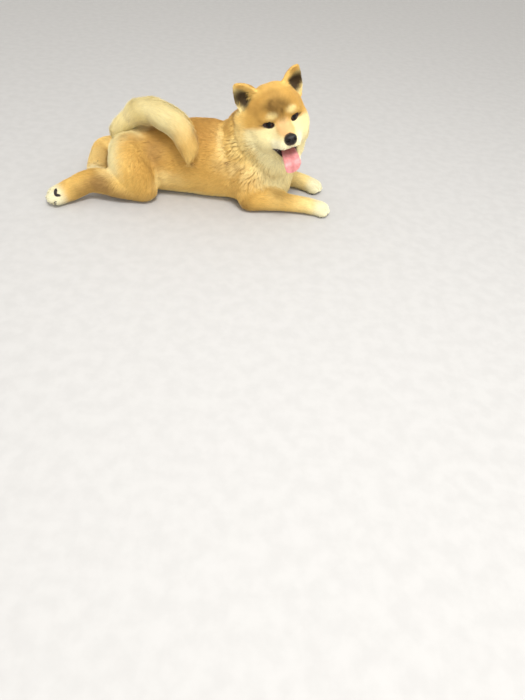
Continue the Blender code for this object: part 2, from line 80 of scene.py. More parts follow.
# The near corner of the mouth, out from the middle and up, and how steeply the lower lip falls from it
LIP_CORNER = (22.0, -29.6)
LIP_FALL = 1.32
TONGUE = [
    # forward, left, up, half width, half thickness
    (-2, 0, -33.0, 8.0, 2.2),
    (10, -1.0, -37.2, 10.0, 3.0),
    (20, -2.2, -42.0, 11.0, 3.4),
    (27, -3.0, -45.5, 11.4, 2.8),
    (30.8, -3.6, -49.5, 11.8, 2.2),
    (31.2, -4.3, -52.2, 11.0, 2.0),
    (31.1, -4.8, -54.2, 10.4, 1.8),
]
# How far the tongue's round end reaches past its last row
TONGUE_END = 6.0

# Middle line and radius of the tail out to its hair tips, in metres
TAIL = np.array(
    [
        (-0.1226, 0.0095, 0.0770, 0.0125),
        (-0.1056, 0.0075, 0.0950, 0.0130),
        (-0.0886, 0.0025, 0.1110, 0.0170),
        (-0.0686, -0.0035, 0.1185, 0.0195),
        (-0.0518, -0.0135, 0.1192, 0.0205),
        (-0.0318, -0.0265, 0.1170, 0.0205),
        (-0.0186, -0.0375, 0.1115, 0.0195),
        (-0.0084, -0.0465, 0.1018, 0.0180),
        (-0.0033, -0.0515, 0.0915, 0.0150),
        (-0.0021, -0.0545, 0.0820, 0.0095),
        (-0.0021, -0.0565, 0.0740, 0.0040),
    ]
)
TAIL_DOCK = np.array((-0.1120, 0.0095, 0.0580))
DOCK_RADIUS = 8.5 * MM
# The tail's flesh and its outline of hair, as shares of that radius, and the flesh at the dock
TAIL_FLESH, TAIL_OUTLINE, DOCK_FLESH = 0.72, 0.97, 0.90
# Shares of the tail's length at which its middle and its tip begin
TAIL_JOINS = [0.25, 0.62]
LEAST_TAIL_COAT = 2.0 * MM
# The size of the faces of the outline that hair tips end at
OUTLINE_GRAIN = 2.0 * MM
# How far the solids are grown to run together over the thin cuts between them
CUT_FILL = 0.6 * MM

LIMBS = {
    # the two ends of the bone that the hair follows
    "foreleg_right": ((0.0914, -0.0445, 0.018), (0.1734, -0.0395, 0.012)),
    "forepaw_right": ((0.1734, -0.0395, 0.012), (0.2050, -0.0395, 0.009)),
    "foreleg_left": ((0.0934, 0.0515, 0.018), (0.1654, 0.0385, 0.014)),
    "forepaw_left": ((0.1654, 0.0385, 0.014), (0.1954, 0.0298, 0.011)),
    "hock_right": ((-0.1106, -0.0515, 0.025), (-0.1766, -0.0690, 0.019)),
    "hindpaw_right": ((-0.1766, -0.0700, 0.0185), (-0.2030, -0.0870, 0.012)),
    "hock_left": ((-0.1226, 0.0805, 0.021), (-0.1696, 0.0700, 0.018)),
    "hindpaw_left": ((-0.1696, 0.0515, 0.017), (-0.1660, 0.0150, 0.013)),
}

# How each length of the body is coated: depth, hair length and hair width in millimetres,
# tufts to a square millimetre, and how much the tufts run together into locks
COATED = {
    "ear": (0.8, 3.0, 0.42, 3.78, 0.10),
    "lower_jaw": (1.5, 4.0, 0.42, 3.51, 0.10),
    "neck": (5.0, 16.0, 0.85, 1.26, 0.45),
    "chest": (3.6, 14.5, 0.82, 0.99, 0.32),
    "belly": (3.0, 12.5, 0.78, 1.03, 0.25),
    "rump": (3.4, 13.0, 0.78, 1.08, 0.26),
    "thigh": (3.2, 12.0, 0.75, 1.08, 0.26),
    "hock": (2.3, 8.0, 0.60, 1.35, 0.20),
    "hindpaw": (1.5, 4.6, 0.45, 1.98, 0.12),
    "foreleg": (2.3, 8.5, 0.62, 1.26, 0.22),
    "forepaw": (1.5, 4.6, 0.45, 1.98, 0.12),
    "tail": (8.0, 18.0, 0.62, 2.43, 0.26),
}
HEAD_FRONT = (1.3, 4.2, 0.40, 3.69, 0.08)
HEAD_BACK = (3.2, 11.0, 0.66, 1.62, 0.24)
# A tuft's height over its width, and half the side of its patch on the coat's unwrap
TUFT_FLATNESS = 0.4
HALF_PATCH = 0.0015
# A tuft's corners: root, left, over, right, tip. Its faces, and the two of them that face the skin
TUFT_CORNERS = 5
TUFT_FACES = [(0, 2, 1), (0, 3, 2), (0, 1, 3), (1, 2, 4), (2, 3, 4), (3, 1, 4)]
UNDER_FACES = (2, 5)
# How high hair and claws stay above the floor
HAIR_GAP, CLAW_GAP = 0.3 * MM, 0.4 * MM

# The coat pieces and the CAD nodes whose skin they grow on
COAT_PIECES = {
    "coat_ears": ("ear_right", "ear_left"),
    "coat_neck": ("neck",),
    "coat_chest": ("chest",),
    "coat_back": ("belly",),
    "coat_rump": ("rump",),
    "coat_thighs": ("thigh_right", "thigh_left"),
    "coat_forelegs": ("foreleg_right", "foreleg_left"),
    "coat_hocks": ("hock_right", "hock_left"),
    "coat_paws": ("forepaw_right", "forepaw_left", "hindpaw_right", "hindpaw_left"),
    "coat_tail": ("tail_root", "tail_middle", "tail_tip"),
}
# How far back from the eyes the face's piece of coat reaches, in millimetres
FACE_REACH = -13.0
MOST_TUFTS = 33000
MOST_SKIN_FACES = 190000

# The nodes of flesh, in whose place the skin comes
NODES = sorted(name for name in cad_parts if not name.startswith(("eye_", "nose", "tongue")))
HEAD_NODES = ("head", "lower_jaw")
EAR_NODES = ("ear_left", "ear_right")
TAIL_NODES = ("tail_root", "tail_middle", "tail_tip")

# Folds in the ruff where its locks part, in metres
RUFF_FOLDS = [
    [
        (0.0800, -0.0580, 0.1090),
        (0.0844, -0.0568, 0.1029),
        (0.0919, -0.0504, 0.0877),
        (0.0997, -0.0445, 0.0722),
    ],
    [(0.0997, -0.0445, 0.0722), (0.1122, -0.0468, 0.0653), (0.1230, -0.0401, 0.0554)],
    [(0.0560, -0.0400, 0.0720), (0.0659, -0.0443, 0.0700), (0.0779, -0.0466, 0.0694)],
]

# Where each paw's toes are, in metres: wrist or heel, middle of the toes, and the way its sole faces
PAWS = {
    "forepaw_right": ((0.1734, -0.0395, 0.012), (0.1984, -0.0395, 0.009), (0.0, 0.0, -1.0)),
    "forepaw_left": ((0.1654, 0.0385, 0.013), (0.1874, 0.0325, 0.0092), (0.0, 0.0, -1.0)),
    "hindpaw_right": ((-0.1766, -0.0700, 0.0185), (-0.1971, -0.0840, 0.0122), (0.2, -0.8, 0.5)),
    "hindpaw_left": ((-0.1696, 0.0515, 0.017), (-0.1666, 0.0215, 0.013), (-0.8, 0.1, 0.3)),
}
PAW_WIDTH = 0.034
TOE_SPREAD = PAW_WIDTH / 4.6
# The four toes' places across the paw, in toe widths, and how far the outer ones lie back for each
TOES = (-1.5, -0.5, 0.5, 1.5)
TOE_SETBACK = 3.4
# The pads that show on the near hind foot: middle, the way they face, the way they run, and half
# length, width and height in millimetres
BARE_PADS = [
    ((-0.1942, -0.0917, 0.0238), (0.05, -0.62, 0.78), (0.05, 0.78, 0.62), (5.2, 2.5, 2.2)),
    ((-0.1903, -0.0955, 0.0208), (0.10, -0.66, 0.75), (1.0, 0.10, 0.0), (4.4, 2.1, 2.1)),
    ((-0.1944, -0.1017, 0.0100), (0.26, -0.94, 0.22), (0.2, 0.3, 1.0), (3.2, 2.0, 1.8)),
]

# Colours of the coat, and one brown for painted shade
RED_TAN = np.array((0.55, 0.29, 0.065))
TAN = np.array((0.67, 0.41, 0.100))
GOLD = np.array((0.83, 0.56, 0.165))
CREAM = np.array((0.91, 0.74, 0.33))
PALE = np.array((0.90, 0.79, 0.43))
WHITE = np.array((0.93, 0.88, 0.62))
PEACH = np.array((0.80, 0.53, 0.24))
SMUDGE = np.array((0.15, 0.075, 0.018))
# Painted shade, not a colour of the coat: it darkens creases, folds and the low parts of the hind leg
PAINTED_SHADE_BROWN = np.array((0.30, 0.165, 0.055))
LEATHER = np.array((0.014, 0.012, 0.012))
# near-black skin of the lips and lid rims; on the mouth's lining it also stands for painted shade inside the
# open mouth
LIP = np.array((0.035, 0.018, 0.016))
EAR_DARK = np.array((0.042, 0.022, 0.010))

# The photograph's height and focal length in its pixels, where straight down lies from its middle,
# and where its camera stood in metres
PHOTO_HEIGHT, FOCAL = 700.0, 526.0
STRAIGHT_DOWN = (-52.5, 534.0)
CAMERA_PLACE = Vector((0.131359, -0.7845, 0.42))
SENSOR_HEIGHT = 24.0
FLOOR_REACH = 6.0
LIGHTS_AIM = Vector((0.02, -0.02, 0.06))


# Sums on arrays of points


def belongs(nodes, *names):
    """True at the points whose node is one of these."""
    return np.isin(nodes, [NODES.index(name) for name in names])


def unit(vectors):
    """The same ways, each one long."""
    vectors = np.asarray(vectors, float)
    return vectors / np.maximum(np.linalg.norm(vectors, axis=-1, keepdims=True), 1e-9)


def soft_step(values, low, high):
    """0 below low, 1 above high and smooth between; low may be above high."""
    share = np.clip((values - low) / (high - low), 0.0, 1.0)
    return share * share * (3.0 - 2.0 * share)


def spot(points, centre, half, fade=0.45):
    """1 inside an ellipsoid, fading to 0 outside its edge."""
    away = np.linalg.norm((points - np.array(centre)) / np.array(half), axis=1)
    return 1.0 - soft_step(away, 1.0 - fade, 1.0 + fade)


def blend(colours, towards, mask):
    """Mix each colour towards another by its mask."""
    return colours + (np.asarray(towards) - colours) * np.clip(mask, 0.0, 1.0)[:, None]


def smooth_noise(points, size, seed):
    """Smooth noise from -1 to 1, whose lumps are about this big."""
    scaled = points / size + seed * 7.31
    cell = np.floor(scaled).astype(np.int64)
    part = scaled - cell
    part = part * part * (3.0 - 2.0 * part)
    total = np.zeros(len(points))
    for corner in range(8):
        step = np.array((corner & 1, corner >> 1 & 1, corner >> 2 & 1))
        here = cell + step
        value = here[:, 0] * 73856093 ^ here[:, 1] * 19349663 ^ here[:, 2] * 83492791
        value = (value + seed * 9176) * 2654435761 % 4294967296
        value = (value ^ (value >> 15)) * 2246822519 % 4294967296
        weight = np.prod(np.where(step, part, 1.0 - part), axis=1)
        total += weight * ((value >> 8) % 65536 / 32767.5 - 1.0)
    return total


def averaged(values, edges, rounds):
    """Values at a mesh's points, evened out along its edges."""
    values = np.array(values, float)
    flat = values.reshape(len(values), -1)
    count = np.bincount(edges.ravel(), minlength=len(flat)) + 1.0
    for _ in range(rounds):
        total = flat.copy()
        for column in range(flat.shape[1]):
            for end, other in ((0, 1), (1, 0)):
                total[:, column] += np.bincount(
                    edges[:, end], flat[edges[:, other], column], minlength=len(flat)
                )
        flat = total / count[:, None]
    return flat.reshape(values.shape)


def smooth_rows(rows, steps):
    """Rows of numbers filled in with a smooth curve through them."""
    rows = np.array(rows, float)
    padded = np.vstack([2 * rows[0] - rows[1], rows, 2 * rows[-1] - rows[-2]])
    filled = []
    for i in range(1, len(padded) - 2):
        before, start, end, after = padded[i - 1 : i + 3]
        for t in np.linspace(0.0, 1.0, steps, endpoint=False):
            filled.append(
                0.5
                * (
                    2 * start
                    + (end - before) * t
                    + (2 * before - 5 * start + 4 * end - after) * t**2
                    + (3 * start - before - 3 * end + after) * t**3
                )
            )
    filled.append(padded[-2])
    return np.array(filled)


# The head's own axes

HEAD_AXES = np.array(
    Matrix.Rotation(math.radians(HEAD_TURN), 3, "Z")
    @ Matrix.Rotation(math.radians(-HEAD_RAISE), 3, "Y")
    @ Matrix.Rotation(math.radians(HEAD_TILT), 3, "X")
)


def to_head(points):
    """Points in the head's own axes, in millimetres."""
    return (points - EYE_MIDPOINT) @ HEAD_AXES / MM


def from_head(points):
    """Points from the head's own axes, back in metres in the frame's."""
    return np.asarray(points, float) * MM @ HEAD_AXES.T + EYE_MIDPOINT


def eye_axes(side):
    """The eye's centre, and its gaze, outward and upward directions, in the head's axes."""
    centre = EYE_PLACE * (1, side, 1)
    gaze = unit(np.array((0.84, side * 0.50, 0.10)))
    outward = unit(side * np.cross((0, 0, 1), gaze) + np.array((0, 0, 0.10)))
    outward = unit(outward - gaze * (outward @ gaze))
    upward = unit(np.cross(gaze, outward) * side)
    return centre, gaze, outward, upward


def ear_rise(side):
    """The middle of an ear's base, and the way from there to its tip."""
    middle = (EAR_INNER + EAR_OUTER) / 2 * (1, side, 1)
    return middle, EAR_TIP[side] * (1, side, 1) - middle


def ear_places(local, side):
    """Where points lie on an ear, across it, up it and ahead of its sheet, and the way it faces."""
    across = (EAR_OUTER - EAR_INNER) / 2 * (1, side, 1)
    middle, rise = ear_rise(side)
    forward = unit(np.cross(across, rise) * side)
    away = local - middle
    return away @ across / (across @ across), away @ rise / (rise @ rise), away @ forward, forward


# Making and reading meshes


def new_object(name, mesh):
    """A new object in the scene."""
    made = bpy.data.objects.new(name, mesh)
    bpy.context.scene.collection.objects.link(made)
    return made


def finished(obj):
    """The object's mesh with its modifiers applied, and the object is removed."""
    bpy.context.view_layer.update()
    graph = bpy.context.evaluated_depsgraph_get()
    mesh = bpy.data.meshes.new_from_object(obj.evaluated_get(graph))
    bpy.data.objects.remove(obj, do_unlink=True)
    return mesh


def mesh_from(name, points, faces):
    """A new mesh from points and the faces between them."""
    mesh = bpy.data.meshes.new(name)
    mesh.from_pydata([tuple(p) for p in points], [], [tuple(int(i) for i in f) for f in faces])
    mesh.update()
    return mesh


def cleaned(mesh, weld=False):
    """The mesh with its faces turned outwards and shaded smooth; weld joins points that coincide."""
    shape = bmesh.new()
    shape.from_mesh(mesh)
    if weld:
        bmesh.ops.remove_doubles(shape, verts=shape.verts, dist=WELD)
    bmesh.ops.recalc_face_normals(shape, faces=shape.faces)
    shape.to_mesh(mesh)
    shape.free()
    mesh.shade_smooth()
    return mesh


def numbers_of(rows, key, width, kind=float):
    """What Blender keeps under a key for each row, as one array."""
    values = np.zeros(len(rows) * width, kind)
    rows.foreach_get(key, values)
    return values.reshape(-1, width)


def points_of(mesh):
    return numbers_of(mesh.vertices, "co", 3)


def normals_of(mesh):
    return numbers_of(mesh.vertex_normals, "vector", 3)


def edges_of(mesh):
    return numbers_of(mesh.edges, "vertices", 2, np.int64)


def tree_of(*meshes):
    """A search tree over the faces of one or more meshes."""
    points, faces = [], []
    for mesh in meshes:
        faces += [[i + len(points) for i in p.vertices] for p in mesh.polygons]
        points += [v.co.copy() for v in mesh.vertices]
    return BVHTree.FromPolygons(points, faces)


def set_points(mesh, points):
    mesh.vertices.foreach_set("co", np.asarray(points, float).ravel())
    mesh.update()


def store(mesh, name, values, kind="FLOAT"):
    """Keep values at the mesh's points under a name that materials read."""
    layer = mesh.attributes.new(name, kind, "POINT")
    values = np.asarray(values, np.float32)
    if kind == "FLOAT_COLOR":
        values = np.hstack([values, np.ones((len(values), 1), np.float32)])
        layer.data.foreach_set("color", values.ravel())
    elif kind == "FLOAT_VECTOR":
        layer.data.foreach_set("vector", values.ravel())
    else:
        layer.data.foreach_set("value", values)


def stored(mesh, name):
    """The values kept at the mesh's points under a name."""
    layer = mesh.attributes[name]
    key, width = {"FLOAT": ("value", 1), "FLOAT_VECTOR": ("vector", 3), "FLOAT_COLOR": ("color", 4)}[
        layer.data_type
    ]
    values = numbers_of(layer.data, key, width, np.float32)
    return values[:, :3] if width > 1 else values[:, 0]


def band_faces(rings, sides):
    """The faces between each ring of points and the next."""
    faces = []
    for a in range(0, (rings - 1) * sides, sides):
        b = a + sides
        for i in range(sides):
            j = (i + 1) % sides
            faces.append((a + i, a + j, b + j, b + i))
    return faces


def ring(centre, size, across, over, sides, flat=1.0):
    """A ring of points round a centre; flat narrows it across."""
    turns = np.linspace(0.0, 2 * math.pi, sides, endpoint=False)
    return centre + size * (np.outer(np.cos(turns) * flat, across) + np.outer(np.sin(turns), over))


def tube(rings):
    """The points and faces of a tube through rings of points, with a flat cap at each end."""
    sides, count = len(rings[0]), len(rings) * len(rings[0])
    caps = [tuple(reversed(range(sides))), tuple(range(count - sides, count))]
    return np.vstack(rings), band_faces(len(rings), sides) + caps


def piece(name, mesh, finish, slot, *nodes):
    """Put a finished mesh in the scene, on the frame's one body, in place of these CAD nodes."""
    obj = new_object(name, mesh)
    mesh.materials.clear()
    mesh.materials.append(finish)
    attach(obj, "root")
    if nodes:
        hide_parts(*nodes)
    return obj


# Where things lie on the head


def in_eye_opening(local, margin=1.0):
    """How far into the opening between either eye's lids a point lies: above 0 is inside."""
    inside = np.full(len(local), -9.0)
    for side in SIDES:
        centre, gaze, outward, upward = eye_axes(side)
        away = local - centre
        ahead = away @ gaze
        across = (away @ outward) / 7.4 / margin
        up = (away @ upward) / 4.0 / margin
        reach = 1.0 - across**2 - up**2
        inside = np.maximum(inside, np.where((ahead > 0) & (ahead < 16), reach, -9.0))
    return inside


def lower_lip_height(local):
    """Height of the lower lip's edge at each point's distance from the middle of the face."""
    return LIP_CORNER[1] - LIP_FALL * (LIP_CORNER[0] - np.abs(local[:, 1]))


def in_mouth(local, normals):
    """1 on the lining of the mouth between the lips, painted near black: partly the lips' own dark skin,
    partly painted shade inside the open mouth.
    """
    x, z = local[:, 0], local[:, 2]
    above_jaw = soft_step(z - lower_lip_height(local), -0.6, 0.6)
    below_muzzle = soft_step(z, -27.6, -28.6)
    across = soft_step(np.abs(local[:, 1]), LIP_CORNER[0] + 0.8, LIP_CORNER[0] - 0.8)
    along = soft_step(x, -13.0, -10.0) * soft_step(x, 28.0, 25.0)
    facing = np.maximum(soft_step(-normals[:, 2], 0.70, 0.88), soft_step(normals[:, 2], 0.2, 0.5))
    facing = np.maximum(facing, soft_step(x, 5.0, 1.0) * soft_step(z, -30.5, -32.0))
    return above_jaw * below_muzzle * across * along * facing


def in_open_mouth(local):
    """True in the open space between the lips, where no hair hangs."""
    x, z = local[:, 0], local[:, 2]
    open_space = (z > lower_lip_height(local) + 0.3) & (z < -29.0)
    return open_space & (np.abs(local[:, 1]) < LIP_CORNER[0] - 1.0) & (x > -12.0) & (x < 30.0)


def on_ear(local, normals, side):
    """Across, up, and 1 on the hollow inner face of an ear."""
    across, up, ahead, forward = ear_places(local, side)
    facing = soft_step(normals @ forward, 0.05, 0.40)
    within = soft_step(up, -0.30, -0.12) * soft_step(np.abs(across), 1.25, 1.0)
    near = soft_step(ahead, -17.0, -13.0) * soft_step(ahead, 9.0, 5.0) * (up < 1.15)
    same_side = local[:, 1] * side > 8.0
    return across, up, facing * within * near * same_side


def tail_line(steps=8):
    """The tail's middle line and radius, from its root to its tip."""
    return smooth_rows(TAIL, steps)


def along_tail(points, line):
    """The step of the tail's line that is nearest to each point, and how far away it is."""
    away = np.linalg.norm(points[:, None] - line[None, :, :3], axis=2)
    return away.argmin(1), away.min(1)


# Markings of the coat


def in_ruff_fold(points, width):
    """1 in the folds of the ruff, falling to 0 at the width."""
    nearest = np.full(len(points), np.inf)
    for line in RUFF_FOLDS:
        for start, end in zip(np.array(line[:-1]), np.array(line[1:])):
            share = np.clip((points - start) @ (end - start) / ((end - start) @ (end - start)), 0.0, 1.0)
            away = np.linalg.norm(points - start - share[:, None] * (end - start), axis=1)
            nearest = np.minimum(nearest, away)
    return soft_step(nearest, width, width * 0.25)


def body_markings_and_shade(points, nodes):
    """The colours of the trunk, legs and tail, with painted shade in creases, folds and low on the hind leg.
    """
    x, y, z = points.T
    drift = smooth_noise(points, 0.034, 3)
    colours = np.tile(RED_TAN, (len(points), 1))
    colours = blend(colours, TAN, 0.55 + 0.35 * drift)
    colours = blend(colours, RED_TAN * 0.86, 0.8 * soft_step(z, 0.086, 0.102))
    colours = blend(colours, GOLD, 0.75 * soft_step(z, 0.060, 0.022))
    colours = blend(colours, CREAM, 0.75 * soft_step(z, 0.022, 0.006))

    hind = belongs(nodes, "rump", "thigh_right", "thigh_left")
    colours = blend(colours, TAN, 0.6 * hind * soft_step(x, -0.050, -0.075))
    colours = blend(colours, GOLD, 0.85 * hind * soft_step(x, -0.070, -0.098))
    colours = blend(colours, PALE, hind * soft_step(x, -0.090, -0.112) * soft_step(z, 0.036, 0.056))
    seat = spot(points, (-0.100, 0.004, 0.086), (0.030, 0.030, 0.022), 0.5)
    colours = blend(colours, PALE, hind * seat)
    # painted shade in the crease at the front of the haunch, and tan low on the haunch as painted shade
    colours = blend(colours, PAINTED_SHADE_BROWN, 0.55 * spot(points, (-0.052, -0.034, 0.078), (0.020, 0.02, 0.026)))
    colours = blend(colours, TAN, 0.5 * spot(points, (-0.066, -0.062, 0.036), (0.034, 0.02, 0.020)))

    neck = belongs(nodes, "neck")
    chest = belongs(nodes, "chest")
    colours = blend(colours, GOLD, 0.85 * neck * soft_step(z, 0.138, 0.100))
    colours = blend(colours, TAN, 0.75 * spot(points, (0.052, -0.020, 0.118), (0.020, 0.03, 0.016)))
    along = np.clip((0.1005 - z) / 0.034, 0.0, 1.0)
    stripe_x = 0.0455 + 0.0100 * along
    stripe = soft_step(np.abs(x - stripe_x), 0.0105, 0.0015) * soft_step(z, 0.054, 0.066) * (y < 0.0)
    colours = blend(colours, CREAM, 0.60 * stripe * soft_step(z, 0.112, 0.100))
    # a thin band of painted shade on the near side, in front of the pale stripe
    colours = blend(colours, PAINTED_SHADE_BROWN, 0.35 * spot(points, (0.068, -0.046, 0.070), (0.018, 0.012, 0.006)))
    locks = np.clip(0.5 + smooth_noise(points, 0.0055, 31), 0.0, 1.0)
    ruff = spot(points, (0.092, -0.044, 0.088), (0.034, 0.026, 0.040), 0.6)
    colours = blend(colours, CREAM, 0.90 * ruff * locks)
    breast = spot(points, (0.128, -0.018, 0.058), (0.034, 0.040, 0.060), 0.6)
    colours = blend(colours, CREAM, 0.95 * (neck | chest) * breast)
    colours = blend(colours, PALE, 0.8 * spot(points, (0.134, -0.036, 0.066), (0.030, 0.034, 0.042), 0.6))
    # painted shade in the folds of the ruff, where its locks part
    colours = blend(colours, PAINTED_SHADE_BROWN, 0.95 * (neck | chest) * in_ruff_fold(points, 0.0065))
    colours = blend(colours, CREAM, 0.5 * spot(points, (-0.036, -0.042, 0.034), (0.026, 0.02, 0.016)))

    for name, (start, end) in LIMBS.items():
        here = belongs(nodes, name)
        start, end = np.array(start), np.array(end)
        share = (points - start) @ (end - start) / ((end - start) @ (end - start))
        if name.startswith("forepaw"):
            colours = blend(colours, CREAM, here * 1.0)
            colours = blend(colours, WHITE, here * soft_step(share, 0.15, 0.6))
        elif name == "foreleg_right":
            colours = blend(colours, TAN, 0.8 * here * soft_step(share, 0.5, 0.1))
            colours = blend(colours, GOLD, 0.9 * here * soft_step(share, 0.15, 0.55))
            colours = blend(colours, CREAM, here * soft_step(share, 0.6, 1.05))
        elif name == "foreleg_left":
            colours = blend(colours, GOLD, here * 0.9)
            colours = blend(colours, CREAM, here * soft_step(share, 0.2, 0.9))
        elif name.startswith("hock"):
            colours = blend(colours, GOLD if name.endswith("left") else TAN, here * 0.85)
            if name.endswith("left"):
                colours = blend(colours, CREAM, here * 0.45)
            colours = blend(colours, GOLD, 0.7 * here * soft_step(share, 0.5, 1.0))
        else:
            colours = blend(colours, GOLD, here * 0.95)
            if name.endswith("left"):
                colours = blend(colours, CREAM, here * 0.55)
            white = 0.9 if name.endswith("left") else 0.25
            colours = blend(colours, WHITE, here * soft_step(share, white, white + 0.35))
    # painted shade under the knee, low on the haunch near the ground and along the hock
    for at, size, share in (
        ((-0.127, -0.068, 0.035), (0.016, 0.014, 0.012), 0.85),
        ((-0.110, -0.064, 0.022), (0.026, 0.014, 0.012), 0.55),
        ((-0.085, -0.066, 0.016), (0.040, 0.020, 0.012), 0.35),
        ((-0.145, -0.068, 0.026), (0.014, 0.012, 0.010), 0.55),
        ((-0.161, -0.076, 0.022), (0.012, 0.012, 0.008), 0.45),
    ):
        colours = blend(colours, PAINTED_SHADE_BROWN, share * spot(points, at, size))

    tail = belongs(nodes, *TAIL_NODES)
    line = tail_line()
    if tail.any():
        share = np.zeros(len(points))
        share[tail] = along_tail(points[tail], line)[0] / (len(line) - 1.0)
        streak = smooth_noise(points, 0.0045, 11)
        colours = blend(colours, CREAM, tail * 1.0)
        colours = blend(colours, PALE, tail * soft_step(share, 0.80, 0.55))
        colours = blend(colours, GOLD, tail * soft_step(share, 0.45, 0.72) * (0.75 + 0.5 * streak))
        colours = blend(colours, TAN, tail * soft_step(share, 0.55, 0.80) * (0.60 + 0.6 * streak))
    return colours


def head_markings(colours, local):
    """The colours of the head over those of the body."""
    x, y, z = local.T
    side = np.abs(y)
    drift = smooth_noise(local, 16.0, 5)
    colours = blend(colours, TAN, np.full(len(x), 1.0))
    colours = blend(colours, RED_TAN, 0.35 + 0.25 * drift)
    colours = blend(colours, GOLD, 0.45 * soft_step(z, 34.0, 44.0))
    colours = blend(colours, RED_TAN, 0.5 * soft_step(x, -30.0, -55.0))
    # pale cheeks, muzzle and throat below the eyes
    lid_line = 0.5 - 0.10 * (side - 16.0) + 2.0 * drift
    cheeks = soft_step(z - lid_line, 3.0, -5.5) * soft_step(side, 6.0, 13.0)
    colours = blend(colours, PALE, 0.92 * cheeks)
    colours = blend(colours, PALE, soft_step(z, -8.0, -15.0))
    # the sides of the head behind the tan mask
    band = soft_step(x, -16.0, -28.0) * soft_step(side, 30.0, 40.0) * soft_step(z, 30.0, 14.0)
    colours = blend(colours, GOLD, 0.9 * band)
    colours = blend(colours, CREAM, 0.6 * band * soft_step(z, 14.0, -6.0))
    colours = blend(colours, CREAM, 0.55 * soft_step(x, -26.0, -40.0) * soft_step(z, -10.0, -26.0))
    # brow spots, the bridge of the nose and the smudge between the brows
    for at in ((7.0, -11.5, 10.0), (7.0, 13.8, 11.5)):
        colours = blend(colours, CREAM, 0.95 * spot(local, at, (7.5, 7.0, 4.2), 0.5))
    for at in ((6.0, -20.0, 7.0), (6.0, 22.0, 8.0)):
        colours = blend(colours, GOLD, 0.6 * spot(local, at, (7.0, 6.5, 3.0), 0.6))
    bridge = soft_step(side, 11.5, 5.0) * soft_step(x, 3.0, 11.0) * soft_step(z, -15.0, -9.0)
    colours = blend(colours, PEACH, 0.95 * bridge * soft_step(z, 8.0, 2.0))
    smudge = 0.95 * spot(local, (7.0, -3.5, 19.5), (12.0, 11.0, 8.0), 0.75)
    smudge += 0.50 * spot(local, (8.5, 0.0, 8.0), (9.0, 4.6, 9.0), 0.7)
    smudge += 0.42 * spot(local, (3.0, -15.0, 22.0), (9.0, 8.0, 6.5), 0.8)
    smudge += 0.40 * spot(local, (4.0, 9.0, 19.0), (9.0, 7.0, 6.5), 0.8)
    smudge += 0.30 * spot(local, (0.0, -3.0, 31.0), (12.0, 9.0, 9.0), 0.8)
    grain = 0.85 + 0.25 * smooth_noise(local, 3.2, 8)
    colours = blend(colours, SMUDGE, np.clip(smudge, 0.0, 0.88) * grain)
    # dark line round the eyes, drawn out at the outer corner
    for place in SIDES:
        centre, gaze, outward, upward = eye_axes(place)
        away = local - centre
        across, up = away @ outward, away @ upward
        ring = soft_step((across / 8.2) ** 2 + (up / 4.6) ** 2, 1.25, 0.95)
        streak = spot(
            np.stack([across, up, away @ gaze], 1), (9.6, -0.2, 3.0), (3.4, 1.1, 7.0), 0.5
        )
        ahead = away @ gaze > -1.0
        colours = blend(colours, LIP * 1.6, np.clip(ring + 0.8 * streak, 0, 1) * ahead)
    # whitest on the lips
    colours = blend(colours, WHITE, 0.8 * soft_step(x, 4.0, 14.0) * soft_step(z, -13.0, -19.0))
    return colours


def ear_markings(colours, local, normals):
    """The colours of both ears over those of the head."""
    for side in SIDES:
        across, up, inner = on_ear(local, normals, side)
        ahead = ear_places(local, side)[2]
        near = soft_step(np.abs(ahead), 20.0, 13.0) * (local[:, 1] * side > 8.0)
        ear = soft_step(up, -0.12, 0.12) * near * soft_step(np.abs(across), 1.4, 1.15)
        colours = blend(colours, TAN, 0.9 * ear)
        colours = blend(colours, GOLD, 0.8 * ear * soft_step(up, 0.45, 0.9))
        hollow = spot(np.stack([across, up, 0 * up], 1), (0.06, 0.14, 0.0), (0.58, 0.56, 1.0), 0.45)
        crownward = soft_step(across, -0.15, -0.50)[:, None]
        colours = blend(colours, CREAM * (1.0 - crownward) + GOLD * crownward, inner * 0.95)
        colours = blend(colours, EAR_DARK, 0.97 * inner * hollow)
        edge = ear * (1.0 - inner) * soft_step(across, 0.55, 0.95)
        colours = blend(colours, CREAM, 0.75 * edge)
    return colours


def markings(points, normals, nodes, edges):
    """The colours of the skin with the body's painted shade, which its coat takes up."""
    local = to_head(points)
    turned = normals @ HEAD_AXES
    head = belongs(nodes, *HEAD_NODES, *EAR_NODES)
    colours = body_markings_and_shade(points, nodes)
    on_head = head_markings(colours, local)
    on_head = ear_markings(on_head, local, turned)
    colours = np.where(head[:, None], on_head, colours)
    share = averaged(head.astype(float), edges, 6)[:, None]
    return colours * share + averaged(colours, edges, 14) * (1.0 - share)


def bare(points, normals, nodes):
    """1 where no hair grows: mouth, eyes, nose leather and pads."""
    local = to_head(points)
    turned = normals @ HEAD_AXES
    head = belongs(nodes, *HEAD_NODES)
    none = head * in_mouth(local, turned)
    none = np.maximum(none, head * soft_step(in_eye_opening(local, 1.18), -0.05, 0.1))
    nose = np.linalg.norm((local - NOSE_PLACE) / (9.0, 9.4, 8.4), axis=1)
    return np.maximum(none, head * soft_step(nose, 1.05, 0.92))


def near_pads(points):
    """1 where the bare pads of the turned-up hind foot take the place of hair."""
    near = np.zeros(len(points))
    for centre, _, _, half in BARE_PADS:
        near = np.maximum(near, spot(points, centre, (half[0] * 1.15 * MM,) * 3, 0.3))
    return near


# The lie of the coat


